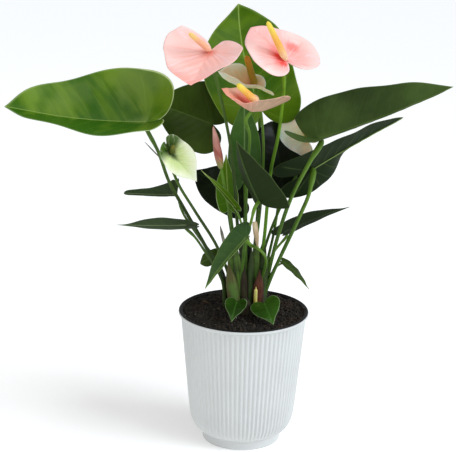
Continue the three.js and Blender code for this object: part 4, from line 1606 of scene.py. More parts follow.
class ScatterTree(GeometryTree):
    """Strews one small shape over a sheet, each turned and sized at random."""

    def __init__(self, name: str) -> None:
        """Build the tree.

        Args:
            name: The tree's name.
        """
        sizes = {"Density": "Float", "Seed": "Int", "Smallest": "Float", "Largest": "Float", "Sink": "Float"}
        super().__init__(name, sizes)
        spread = self.add("GeometryNodeDistributePointsOnFaces")
        seed = self.given("Seed")
        self.fill(spread, {"Mesh": self.given("Geometry"), "Density": self.given("Density"), "Seed": seed})
        size = self.run("FunctionNodeRandomValue", {"Min": 0.0, "Max": 1.0, "Seed": seed}, data_type="FLOAT")
        span = self.minus(self.given("Largest"), self.given("Smallest"))
        size = self.plus(self.given("Smallest"), self.times(self.math("POWER", size, MANY_SMALL), span))
        drop = self.vector("SCALE", self.joined(0.0, 0.0, self.times(size, self.given("Sink"))), -1.0)
        points = {"Geometry": spread.outputs["Points"], "Offset": drop}
        turns = {"Min": (0.0, 0.0, 0.0), "Max": self.tumble(), "Seed": TURN_SEED}
        turns = self.run("FunctionNodeRandomValue", turns, data_type="FLOAT_VECTOR")
        placed = {
            "Points": self.run("GeometryNodeSetPosition", points), "Instance": self.shape(),
            "Rotation": self.run("FunctionNodeEulerToRotation", {"Euler": turns}), "Scale": size,
        }
        self.close(self.run("GeometryNodeInstanceOnPoints", placed))

    def tumble(self) -> Vec:
        """Give the largest turn about each axis."""
        return FULL_TURN, FULL_TURN, FULL_TURN

    def shape(self) -> Socket:
        """Make the shape that is strewn."""
        raise NotImplementedError


class CrumbTree(ScatterTree):
    """Strews lumpy crumbs."""

    def shape(self) -> Socket:
        """Make one crumb of a few dozen faces.

        Returns:
            The crumb, about one unit in radius.
        """
        ball = self.run("GeometryNodeMeshUVSphere", {"Segments": 7, "Rings": 5, "Radius": 1.0})
        spot = self.add("GeometryNodeInputPosition").outputs[0]
        lumps = self.minus(self.noise(spot, 1.4, 2), 0.5)
        grown = self.vector("SCALE", spot, self.plus(1.0, self.times(lumps, 1.5)))
        flat = self.vector("MULTIPLY", grown, (1.0, 0.8, 0.62))
        return self.run("GeometryNodeSetPosition", {"Geometry": ball, "Position": flat})


class FibreTree(ScatterTree):
    """Strews bent fibres."""

    def tumble(self) -> Vec:
        """Give the largest turn about each axis, nearly flat."""
        return 0.5, 0.5, FULL_TURN

    def shape(self) -> Socket:
        """Make one fibre of a few dozen faces.

        Returns:
            The fibre, one unit long.
        """
        ends = {"Start": (-0.5, 0.0, 0.0), "Middle": (0.05, 0.34, 0.22), "End": (0.5, -0.06, 0.0)}
        ends["Resolution"] = 6
        return self.swept(self.run("GeometryNodeCurveQuadraticBezier", ends), self.circle(4), 0.03)


# Leaves


class LeafTone(Enum):
    """The finishes that the leaves come in."""

    BRIGHT = LeafFinish(
        "leaf_bright", slot="leaf_bright", deep="#355808", bright="#527010", vein="#8ea653", margin="#9bb062",
        back="#455f27", gloss=0.3, shine=0.06, veining=0.25, banding=0.5,
    )
    # Its margin is stronger on the lobes, partly a painted edge highlight.
    NEW = LeafFinish(
        "leaf_new", slot="leaf_bright", deep="#3d6608", bright="#5c8012", vein="#9cb45c", margin="#d4e0a8",
        back="#4c6c27", gloss=0.3, shine=0.06, veining=0.25, lobe_margin_and_highlight=0.5,
    )
    # Painted light: the left half darkened as painted shade, lobes and tip lighter, a painted grey-green
    # sheen on the right half, and a painted highlight on curled lobe edges.
    WIDE = LeafFinish(
        "leaf_wide", slot="leaf_bright", deep="#2c5802", bright="#5f7e1c", vein="#8ea653", margin="#b4c68a",
        back="#455f27", gloss=0.28, shine=0.1, veining=0.2, painted_shade_halves=(-0.5, 0.05), ends=(0.25, 0.1),
        band=(0.36, 0.64), banding=0.65, bloom="#68803c", painted_sheen_share=0.3, lobe_margin_and_highlight=0.6, rolled=0.02,
    )
    # Painted light: the left half lighter, the right half darker as painted shade, and the tip lighter.
    HANGING = LeafFinish(
        "leaf_hanging", slot="leaf_bright", deep="#2a4822", bright="#4a6a2b", vein="#7d9850",
        margin="#9bb062", back="#3a5a2a", gloss=0.36, shine=0.2, veining=0.25, painted_shade_halves=(0.3, -0.2),
        ends=(0.0, 0.4),
    )
    TEAL = LeafFinish(
        "leaf_teal", slot="leaf_bright", deep="#2f5418", bright="#486c2a", vein="#7b985a", margin="#7d9a5d",
        back="#2b4a26", gloss=0.36, shine=0.15, veining=0.2,
    )
    # Painted light: lighter towards the tip.
    MATT = LeafFinish(
        "leaf_matt", slot="leaf_green", deep="#21320f", bright="#3f5524", vein="#5f7a3a", margin="#6d8048",
        back="#2c3a1c", gloss=0.45, shine=0.08, veining=0.12, ends=(0.0, 0.6),
    )
    FOLDED = LeafFinish(
        "leaf_folded", slot="leaf_green", deep="#1c300e", bright="#2c4216", vein="#8fa85e", margin="#5d7040",
        back="#121e08", gloss=0.36, shine=0.08, veining=0.2,
    )
    LOW = LeafFinish(
        "leaf_low", slot="leaf_green", deep="#2a3820", bright="#36442a", vein="#5c7045", margin="#566645",
        back="#33402a", gloss=0.45, shine=0.14, veining=0.15,
    )
    MUTED = LeafFinish(
        "leaf_muted", slot="leaf_green", deep="#36472a", bright="#485a3a", vein="#98a87c", margin="#566645",
        back="#3c4b30", gloss=0.45, shine=0.14, veining=0.06,
    )
    # Its pale margin, stronger on the lobes, is partly a painted highlight along the edge.
    SOIL = LeafFinish(
        "leaf_soil", slot="leaf_green", deep="#142c06", bright="#396414", vein="#3f6a24", margin="#a4bc84",
        back="#2b4620", gloss=0.28, shine=0.25, veining=0.2, lobe_margin_and_highlight=0.3, rolled=0.01,
    )
    DARK = LeafFinish(
        "leaf_dark", slot="leaf_dark", deep="#283a0c", bright="#3c5216", vein="#4f682c", margin="#48602a",
        back="#22340f", gloss=0.4, shine=0.1, veining=0.2,
    )
    UPRIGHT = LeafFinish(
        "leaf_upright", slot="leaf_dark", deep="#1b2a0e", bright="#243616", vein="#48602e", margin="#6a7c4a",
        back="#223010", gloss=0.42, shine=0.1, veining=0.15,
    )
    SHADED = LeafFinish(
        "leaf_shaded", slot="leaf_dark", deep="#0d130a", bright="#17210f", vein="#26341a", margin="#2c3a20",
        back="#11180c", gloss=0.3, shine=0.15, veining=0.15,
    )


STEM_YOUNG = StemFinish("stem_young", foot="#283e14", middle="#3a5a18", top="#5a7e26", line="#84a648")
STEM_LIME = StemFinish("stem_lime", foot="#2f4c14", middle="#4e7a14", top="#6c951a", line="#98bc42")
STEM_OLD = StemFinish("stem_old", foot="#262f14", middle="#304419", top="#4c6a28", line="#5f7a3a")


@dataclass
class Leaf:
    """A grown leaf: its blade, and the petiole that carries it."""

    name: str
    shape: BladeShape
    stalk: Stalk
    look: LeafTone
    stem: StemFinish = STEM_YOUNG
    knee_below: float = 11.0
    cell: float = 1.5

    def build(self, tree: StemTree) -> None:
        """Make and dress both pieces.

        Args:
            tree: The tree that sweeps stems.
        """
        blade = Blade(self.shape, LEAF_VEINS)
        piece = blade.build(f"{self.name}_blade", self.cell)
        piece.data.materials.append(self.look.value.material())
        seat_piece(piece, self.look.value.slot, f"leaf_{self.name}")
        stalk = self.stalk.build(f"{self.name}_petiole", [*blade.seat(self.knee_below)], self.stem, tree)
        seat_piece(stalk, "stem_green", f"petiole_{self.name}")


@dataclass
class SmallLeaf:
    """A small leaf whose blade and stalk are one piece."""

    name: str
    shape: BladeShape
    stalk: Stalk
    look: LeafTone
    cell: float = 0.8

    def build(self, tree: StemTree) -> None:
        """Make and dress the piece.

        Args:
            tree: The tree that sweeps stems.
        """
        blade = Blade(self.shape, SMALL_VEINS)
        piece = blade.build(f"{self.name}_small_leaf", self.cell)
        piece.data.materials.append(self.look.value.material())
        stalk = self.stalk.build(f"{self.name}_stalk", [np.array(self.shape.attach)], STEM_YOUNG, tree)
        with bpy.context.temp_override(active_object=piece, selected_editable_objects=[piece, stalk]):
            bpy.ops.object.join()
        seat_piece(piece, self.look.value.slot, f"leaf_{self.name}")


# Blooms

SPADIX_SUNK = 1.2
FLORET_SIZE = 0.62


@dataclass
class Bloom:
    """A bloom: its spathe, the spadix on it and the peduncle that carries it."""

    name: str
    shape: BladeShape
    stalk: Stalk
    spadix_tip: Vec
    finish: SpatheFinish
    spadix_finish: SpadixFinish
    slots: tuple[str, str]
    stem: StemFinish = STEM_YOUNG
    spadix_lift: float = 2.0
    spadix_shift: Vec = (0, 0, 0)
    knee_below: float = 11.0
    thick: float = 3.0
    thin: float = 1.6
    florets: int = 300
    cell: float = 1.0

    def build(self, tree: StemTree, spadices: SpadixTree) -> None:
        """Make and dress the three pieces.

        Args:
            tree: The tree that sweeps stems.
            spadices: The tree that makes spadices.
        """
        blade = Blade(self.shape, SPATHE_VEINS)
        piece = blade.build(f"{self.name}_spathe", self.cell)
        piece.data.materials.append(self.finish.material())
        seat_piece(piece, self.slots[0], f"spathe_{self.name}")
        stalk = self.stalk.build(f"{self.name}_peduncle", [*blade.seat(self.knee_below)], self.stem, tree)
        seat_piece(stalk, "stem_green", f"peduncle_{self.name}")
        self.build_spadix(blade, spadices)

    def build_spadix(self, blade: Blade, spadices: SpadixTree) -> None:
        """Make and dress the spadix.

        Args:
            blade: The spathe's surface.
            spadices: The tree that makes spadices.
        """
        zero = np.zeros(1)
        out = blade.normals(zero, zero, zero)[0]
        lift = self.shape.heart / 2 + self.spadix_lift - SPADIX_SUNK
        base = blade.start + out * lift + np.array(self.spadix_shift)
        axis = np.array(self.spadix_tip) - base
        finger = path_object(f"{self.name}_finger", np.array([base, self.spadix_tip]), {})
        sizes = {
            "Florets": self.florets, "Floret Size": FLORET_SIZE * MM, "Base": tuple(base * MM),
            "Axis": tuple(unit(axis)), "Length": float(np.linalg.norm(axis)) * MM,
            "Thick": self.thick * MM, "Thin": self.thin * MM,
        }
        spadices.grow(finger, self.spadix_finish.material(), sizes)
        seat_piece(finger, self.slots[1], f"spadix_{self.name}")


# Bud


@dataclass(frozen=True)
class BudFinish(Finish):
    """A rolled bud: green at its foot, pink above, paler streaks and a darker seam."""

    foot: str = "#7d8a3f"
    belly: str = "#9c4e40"
    tip: str = "#e2ac9e"
    seam: str = "#b5604f"

    def make(self) -> bpy.types.Material:
        """Make the material's nodes.

        Returns:
            The material.
        """
        g = Shader(self.name)
        rise, lap, _ = g.parts(g.attribute("bud"))
        color = g.blend(g.ease(rise, 0.02, 0.34), tone(self.foot), tone(self.belly))
        color = g.tint(color, self.tip, g.ease(rise, 0.4, 0.95))
        streaks = g.noise(g.joined(g.times(lap, 7), g.times(rise, 1.5), 0.0), scale=2, detail=4)
        color = g.tint(color, self.tip, g.ease(streaks, 0.45, 0.7), 0.35)
        color = g.tint(color, self.seam, g.fall(lap, 0.0, 0.07), 0.6)
        return g.finish(
            Base_Color=color, Roughness=g.plus(0.34, g.times(streaks, 0.15)),
            Normal=g.relief(streaks, 0.15), Specular_IOR_Level=0.45, Subsurface_Weight=0.12,
            Subsurface_Radius=(1.0, 0.45, 0.35), Subsurface_Scale=0.0015,
        )


@dataclass
class Bud:
    """A bud: a spathe still rolled into a spindle, on its own peduncle."""

    base: Vec
    tip: Vec
    radius: float
    profile: tuple[Pair, ...]
    stalk: Stalk
    lap: float = 0.4
    draw: float = 0.08
    turns: float = 0.8
    rings: int = 70
    around: int = 56

    def build(self, tree: StemTree) -> None:
        """Make and dress the bud and its peduncle.

        Args:
            tree: The tree that sweeps stems.
        """
        base, tip = np.array(self.base, float), np.array(self.tip, float)
        axis = tip - base
        length = float(np.linalg.norm(axis))
        axis = axis / length
        side = unit(np.cross(axis, (0, 1, 0)))
        other = np.cross(axis, side)
        corners = np.array([(r * self.radius, 0, t * length) for r, t in (*self.profile, (0.02, 1.0))])
        curve = smooth_path(corners, self.rings)
        turn = np.linspace(0, 2 * np.pi, self.around, endpoint=False)
        rise = curve[:, 2] / length
        lap = np.mod(turn[None, :] / (2 * np.pi) + self.turns * rise[:, None], 1)
        radius = curve[:, :1]
        reach = radius * (1 - self.draw * lap) + self.lap * (0.5 - lap) * np.minimum(1, radius / 2)
        points = (
            base
            + curve[:, 2][:, None, None] * axis
            + reach[..., None] * (np.cos(turn)[:, None] * side + np.sin(turn)[:, None] * other)
        ).reshape(-1, 3)
        faces = tube_faces(self.around, len(curve))
        piece = mesh_object("rolled_bud", np.vstack([points, base, tip]), faces)
        kept = np.stack([np.repeat(rise, self.around), lap.ravel(), np.zeros(len(points))], axis=1)
        keep_vectors(piece, "bud", np.vstack([kept, [[0, 0.5, 0], [1, 0.5, 0]]]))
        piece.data.materials.append(BudFinish("bud_pink").material())
        seat_piece(piece, "bud_pink", "bud")
        stalk = self.stalk.build("bud_stalk", [base - axis * 0.3], STEM_YOUNG, tree)
        seat_piece(stalk, "stem_green", "peduncle_bud")


# Crown


@dataclass
class Scale:
    """A dry papery scale at the crown."""

    name: str
    shape: BladeShape
    finish: SheathFinish
    nodes: tuple[str, ...] = ()
    cell: float = 0.7

    def build(self) -> None:
        """Make and dress the scale."""
        piece = Blade(self.shape, SCALE_VEINS).build(f"{self.name}_scale", self.cell)
        piece.data.materials.append(self.finish.material())
        seat_piece(piece, "sheath", *self.nodes)


def scale_shape(attach: Vec, tip: Vec, facing: Vec, width: float, curl: float) -> BladeShape:
    """Give a narrow cupped scale its form.

    Args:
        attach: Its foot.
        tip: Its tip.
        facing: Where its outer face looks.
        width: Its width.
        curl: How far its sides bend back.

    Returns:
        The shape.
    """
    return BladeShape(
        attach, tip, facing, width, fold=(0, 0), arch=0, curl=curl, wave=0, waves=1, phase=(0, 0),
        lobe=(0.02, 0.02), lobe_spread=(0.6, 0.6), shoulder=(0.35, 0.35), sinus=0.01,
        tip_fullness=(0.35, 0.35), edge=0.5, heart=0.9,
    )


def on_soil(x: float, y: float, above: float = 3.6) -> Vec:
    """Find a place just above the soil."""
    return x, y, float(SOIL.height(x, y)) + above


def soil_scale(
    name: str, root: Pair, tip: Vec, lean: float, width: float, curl: float, finish: SheathFinish, *nodes: str
) -> Scale:
    """Describe a scale that stands on the soil and faces the front.

    Args:
        name: Its name.
        root: Where it stands.
        tip: Its tip.
        lean: How far it faces to the right.
        width: Its width.
        curl: How far its sides bend back.
        finish: Its finish.
        *nodes: The solid that it stands for, where there is one.

    Returns:
        The scale.
    """
    return Scale(name, scale_shape(on_soil(*root), tip, (lean, -1, 0.1), width, curl), finish, nodes)


SHEATH_OLIVE = SheathFinish("sheath_olive", base="#4a6a26", dry="#4a4420", fibre="#78904a")
SHEATH_GREEN = SheathFinish("sheath_green", base="#2f4a1a", dry="#2a3614", fibre="#46622a")
SHEATH_LIME = SheathFinish("sheath_lime", base="#4c7020", dry="#33461a", fibre="#80a040")
SHEATH_DARK = SheathFinish("sheath_dark", base="#1c2c10", dry="#14180c", fibre="#2c4018")
SHEATH_BROWN = SheathFinish("sheath_brown", base="#2e2a10", dry="#1c1408", fibre="#54481c")
SHEATH_RED = SheathFinish("sheath_red", base="#6c341c", dry="#34170c", fibre="#92603c")
SHEATH_GREY = SheathFinish("sheath_grey", base="#8a8676", dry="#5c5748", fibre="#a9a592")
SHEATH_BEIGE = SheathFinish("sheath_beige", base="#c8b894", dry="#b09674", fibre="#ddd0b0")


@dataclass
class Crown:
    """What stands between the stems at the soil: scales, and one young shoot."""

    scales: list[Scale]
    shoot: Stalk
    shoot_top: Vec

    def build(self, tree: StemTree) -> None:
        """Make and dress the crown.

        Args:
            tree: The tree that sweeps stems.
        """
        for scale in self.scales:
            scale.build()
        finish = StemFinish("shoot_pale", foot="#c9c05a", middle="#c6bd3c", top="#cfc56a", line="#efe9c8")
        piece = self.shoot.build("young_shoot", [np.array(self.shoot_top)], finish, tree)
        seat_piece(piece, "shoot", "shoot")


# Soil bed


@dataclass(frozen=True)
class Strewn:
    """One kind of grain on the soil: how it looks, how many there are and how large they are.

    The density is a number on a square metre, sizes are millimetres, and the sink is a share of the size.
    """

    name: str
    tree: type[ScatterTree]
    finish: Finish
    density: int
    seed: int
    smallest: float
    largest: float
    sink: float = 0.0

    def build(self, points: np.ndarray, faces: np.ndarray) -> None:
        """Make and dress the grains.

        Args:
            points: Points of the sheet that they lie on.
            faces: The sheet's triangles.
        """
        piece = mesh_object(self.name, points, faces)
        sizes = {
            "Density": self.density, "Seed": self.seed, "Smallest": self.smallest * MM,
            "Largest": self.largest * MM, "Sink": self.sink,
        }
        self.tree(self.name).grow(piece, self.finish.material(), sizes)
        seat_piece(piece, "soil")


@dataclass(frozen=True)
class SoilBed:
    """The soil in the growing pot: its lumpy top, and what is strewn over it."""

    rings: int = 84
    around: int = 260
    roughness: float = 1.3
    lumps: tuple[Pair, ...] = ((9.0, 0.5), (4.0, 0.35), (2.2, 0.22))
    lump_waves: int = 5
    lump_seed: int = 7
    overlap: float = 1.2
    sheet_rings: int = 30
    sheet_around: int = 90
    strewn: tuple[Strewn, ...] = (
        Strewn(
            "soil_crumbs", CrumbTree,
            SoilFinish("soil_crumb", dark="#100d0a", brown="#40372a", red="#523823", grains=500),
            density=215000, seed=3, smallest=0.6, largest=3.2, sink=0.2,
        ),
        Strewn(
            "soil_fibres", FibreTree,
            SoilFinish("soil_fibre", dark="#352c1e", brown="#857354", red="#7a5030"),
            density=7000, seed=5, smallest=3.0, largest=11.0,
        ),
        Strewn(
            "soil_perlite", CrumbTree,
            PotFinish("perlite", base="#d9d6cb", shade="#b5b0a2", gloss=0.7, grain=0.1),
            density=2200, seed=12, smallest=0.4, largest=1.1,
        ),
    )

    def sheet(self, reach: float, rings: int, around: int) -> np.ndarray:
        """Lay out the top.

        Args:
            reach: Its radius.
            rings: Rings from the middle out.
            around: Points in a ring.

        Returns:
            Points, the middle first.
        """
        share = np.linspace(0, 1, rings + 1)[1:]
        turn = np.linspace(0, 2 * np.pi, around, endpoint=False)
        x, y = disc_points(share * reach, np.cos(turn), np.sin(turn))
        lumps = np.zeros(len(x))
        random = np.random.default_rng(self.lump_seed)
        for size, amount in self.lumps:
            for _ in range(self.lump_waves):
                angle, phase, skew = random.uniform(0, 2 * np.pi, 3)
                run = (x * math.cos(angle) + y * math.sin(angle)) * 2 * math.pi / size
                cross = (-x * math.sin(angle) + y * math.cos(angle)) * 2 * math.pi / (size * 1.3)
                lumps += amount / 2 * np.sin(run + phase + 1.2 * np.sin(cross + skew))
        return np.stack([x, y, SOIL.height(x, y) + self.roughness * lumps], axis=1)

    def build(self) -> None:
        """Make and dress the bed and what lies on it."""
        points = self.sheet(SOIL.rim, self.rings, self.around)
        points[-self.around :, 2] = SOIL.edge_height
        turn = np.linspace(0, 2 * np.pi, self.around, endpoint=False)
        x, y = SOIL.floor_radius * np.cos(turn), SOIL.floor_radius * np.sin(turn)
        low = np.stack([x, y, np.full(self.around, SOIL.floor)], axis=1)
        i, j = ring_starts(self.around)
        edge, foot = 1 + (self.rings - 1) * self.around, len(points)
        faces = [
            disc_faces(self.around, self.rings),
            np.stack([edge + i, foot + i, foot + j], axis=1),
            np.stack([edge + i, foot + j, edge + j], axis=1),
            np.stack([foot + i, np.full(self.around, foot + self.around), foot + j], axis=1),
        ]
        piece = mesh_object("soil_bed", np.vstack([points, low, (0, 0, SOIL.floor)]), np.vstack(faces))
        piece.data.materials.append(SoilFinish("soil").material())
        seat_piece(piece, "soil", "soil")
        points = self.sheet(SOIL.rim + self.overlap, self.sheet_rings, self.sheet_around)
        faces = disc_faces(self.sheet_around, self.sheet_rings)
        for kind in self.strewn:
            kind.build(points, faces)


# Pots

BLACK_PLASTIC = PotFinish(
    "black_plastic", base="#0d0d0c", shade="#131311", speck="#1c1c1a", gloss=0.42, shine=0.18, grain=0.04,
)


@dataclass(frozen=True)
class Pots:
    """The ribbed white pot, and the black growing pot that hangs in it."""

    ribs: int = 79
    rib_depth: float = 1.4
    rib_starts: Pair = (11.0, 19.0)
    rib_ends: Pair = (139.8, 142.8)
    per_rib: int = 8
    outer_step: float = 6.0
    growing_step: float = 12.0
    growing_columns: int = 180
    outside: tuple[Corner, ...] = (
        Corner(0, 1.0), Corner(37.5, 1.0, 0.5), Corner(39, 0, 0.5), Corner(42.5, 0, 1.4),
        Corner(42.5, 10, 0.6), Corner(44.5, 11, 1.0), Corner(49.5, 14, 2.4), Corner(53.5, 19.5, 3.2),
        Corner(56.2, 27, 4.0), Corner(58.4, 44, 8.0), Corner(67.6, 140.6, 1.0), Corner(67.5, 142.5, 0.4),
        Corner(70.2, 143.3, 0.4), Corner(70.2, 145.7, 0.6),
    )
    bore: tuple[Corner, ...] = (
        Corner(66.4, 145.7, 0.8), Corner(65.3, 141, 2.0), Corner(53.4, 28, 5.0), Corner(49, 15, 3.0),
        Corner(40, 7, 3.0), Corner(0, 7),
    )
    growing: tuple[Corner, ...] = (
        Corner(0, 20), Corner(45, 20, 1.0), Corner(64.9, 142.5, 0.8), Corner(65.6, 145.8, 0.3),
        Corner(69.6, 145.8, 0.2), Corner(69.8, 146.4, 0.3), Corner(69.3, 147.0, 0.4),
        Corner(67.9, 147.0, 0.4), Corner(64.2, 143.0, 0.8), Corner(43.7, 21.3, 0.6), Corner(0, 21.3),
    )
    drains: int = 6
    drain_radius: float = 4.0
    drain_circle: float = 31.0
    drain_sides: int = 24
    drain_reach: Pair = (17.0, 24.0)
    sharp: float = 40.0

    def build(self, tree: LatheTree) -> None:
        """Make and dress both pots.

        Args:
            tree: The tree that turns profiles.
        """
        outer = rounded_profile([*self.outside, *self.bore], self.outer_step)
        outside = np.arange(len(outer)) < int(np.argmax(outer[:, 1]))
        marked = smoothstep(outer[:, 1], *self.rib_starts)
        marked *= (1 - smoothstep(outer[:, 1], *self.rib_ends)) * outside
        white = PotFinish("white_pot")
        ribbed = self.turn(tree, "ribbed_pot", outer, marked, self.per_rib * self.ribs, white)
        seat_piece(ribbed, "white_pot", "outer_pot")
        inner = rounded_profile(list(self.growing), self.growing_step)
        plain = np.zeros(len(inner))
        growing = self.turn(tree, "growing_pot", inner, plain, self.growing_columns, BLACK_PLASTIC)
        self.drill(growing)
        seat_piece(growing, "black_plastic", "nursery_pot")

    def turn(
        self, tree: LatheTree, name: str, profile: np.ndarray, ribbed: np.ndarray, columns: int,
        finish: PotFinish,
    ) -> bpy.types.Object:
        """Turn one pot.

        Args:
            tree: The tree that turns profiles.
            name: The piece's name.
            profile: Radius and height of each point.
            ribbed: Share of the rib depth at each point.
            columns: Columns round the pot.
            finish: Its finish.

        Returns:
            The pot.
        """
        path = np.stack([profile[:, 0], np.zeros(len(profile)), profile[:, 1]], axis=1)
        piece = path_object(name, path, {"ribbed": ribbed})
        sizes = {"Columns": columns, "Rows": len(profile)}
        sizes |= {"Ribs": float(self.ribs), "Rib Depth": self.rib_depth * MM}
        tree.grow(piece, finish.material(), sizes)
        return piece

    def drill(self, piece: bpy.types.Object) -> None:
        """Cut the drain holes through the growing pot's floor.

        Args:
            piece: The growing pot.
        """
        turn = np.linspace(0, 2 * np.pi, self.drain_sides, endpoint=False)
        ring = np.stack([np.cos(turn), np.sin(turn), 0 * turn], axis=1) * self.drain_radius
        hole = tube_faces(self.drain_sides, len(self.drain_reach))
        points, faces = [], []
        for angle in 2 * np.pi * np.arange(self.drains) / self.drains:
            x, y = self.drain_circle * math.cos(angle), self.drain_circle * math.sin(angle)
            ends = [np.array([[x, y, z]]) for z in self.drain_reach]
            faces.append(hole + sum(len(part) for part in points))
            points += [*(ring + end for end in ends), *ends]
        cutter = mesh_object("drains", np.vstack(points), np.vstack(faces))
        modifier = piece.modifiers.new("drains", "BOOLEAN")
        modifier.object = cutter
        modifier.operation = "DIFFERENCE"
        graph = bpy.context.evaluated_depsgraph_get()
        made = bpy.data.meshes.new_from_object(piece.evaluated_get(graph), depsgraph=graph)
        piece.modifiers.clear()
        piece.data = made
        made.set_sharp_from_angle(angle=math.radians(self.sharp))
        bpy.data.objects.remove(cutter)


# Studio


@dataclass(frozen=True)
class StudioLight:
    """A soft light: where it stands, what it looks at, its size and its power."""

    name: str
    place: Vec
    aim: Vec
    size: float
    power: float
    color: str = "#ffffff"

    def build(self) -> None:
        """Set up the light."""
        data = bpy.data.lights.new(self.name, "AREA")
        data.shape = "DISK"
        data.size = self.size
        data.energy = self.power
        data.color = tone(self.color)[:3]
        obj = linked(self.name, data)
        obj.location = self.place
        obj.rotation_euler = (Vector(self.aim) - Vector(self.place)).to_track_quat("-Z", "Y").to_euler()


@dataclass(frozen=True)
class Studio:
    """A pale floor, soft lights and the camera of the photograph. Lengths here are metres."""

    camera: Vec = (-0.0186, -1.555, 0.698)
    lens: float = 120.3
    sensor: float = 36.0
    pitch: float = 16.4
    roll: float = 1.1
    sight: float = 100.0
    floor_size: float = 40.0
    sky: float = 0.4
    sun: float = 2.1
    sun_spread: float = 40.0
    sun_color: str = "#eef6ff"
    sun_aim: Vec = (-0.75, 0.35, -0.56)
    floor_glow: float = 0.25
    lights: tuple[StudioLight, ...] = (
        StudioLight("overhead", (0.1, -0.25, 1.9), (0, 0, 0.3), 1.3, 8.5),
        StudioLight("left", (-1.6, -1.4, 0.9), (0, 0, 0.25), 1.2, 7.0),
    )

    def build(self) -> None:
        """Set up the floor, the lights and the camera."""
        self.build_floor()
        self.build_sky()
        for light in self.lights:
            light.build()
        self.build_camera()
        bpy.context.scene.view_settings.view_transform = "Standard"

    def build_floor(self) -> None:
        """Lay the floor."""
        half = self.floor_size / 2 / MM
        points = np.array([(-half, -half, 0), (half, -half, 0), (half, half, 0), (-half, half, 0)], float)
        floor = mesh_object("floor", points, np.array([(0, 1, 2), (0, 2, 3)]))
        pale = PotFinish("pale_floor", base="#fbfbfa", shade="#fafaf9", speck="#f7f7f6", gloss=0.8, shine=0.1)
        surface = pale.material().node_tree.nodes["Principled BSDF"]
        surface.inputs["Emission Color"].default_value = (1, 1, 1, 1)
        surface.inputs["Emission Strength"].default_value = self.floor_glow
        floor.data.materials.append(pale.material())

    def build_sky(self) -> None:
        """Set up the even light from all round and the soft sun."""
        world = bpy.data.worlds.new("studio")
        world.use_nodes = True
        world.node_tree.nodes["Background"].inputs["Strength"].default_value = self.sky
        world.node_tree.nodes["Background"].inputs["Color"].default_value = (1, 1, 1, 1)
        bpy.context.scene.world = world
        data = bpy.data.lights.new("sun", "SUN")
        data.energy = self.sun
        data.angle = math.radians(self.sun_spread)
        data.color = tone(self.sun_color)[:3]
        sun = linked("sun", data)
        sun.rotation_euler = Vector(self.sun_aim).to_track_quat("-Z", "Y").to_euler()

    def build_camera(self) -> None:
        """Set up the camera."""
        pitch, roll = math.radians(self.pitch), math.radians(self.roll)
        forward = Vector((0, math.cos(pitch), -math.sin(pitch)))
        level_up = Vector((0, math.sin(pitch), math.cos(pitch)))
        level_right = Vector((1, 0, 0))
        right = level_right * math.cos(roll) + level_up * math.sin(roll)
        up = level_up * math.cos(roll) - level_right * math.sin(roll)
        data = bpy.data.cameras.new("camera")
        data.lens = self.lens
        data.sensor_width = self.sensor
        data.sensor_fit = "HORIZONTAL"
        data.clip_end = self.sight
        camera = linked("camera", data)
        turn = Matrix((right, up, -forward)).transposed().to_4x4()
        camera.matrix_world = Matrix.Translation(self.camera) @ turn
        bpy.context.scene.camera = camera


# The plant


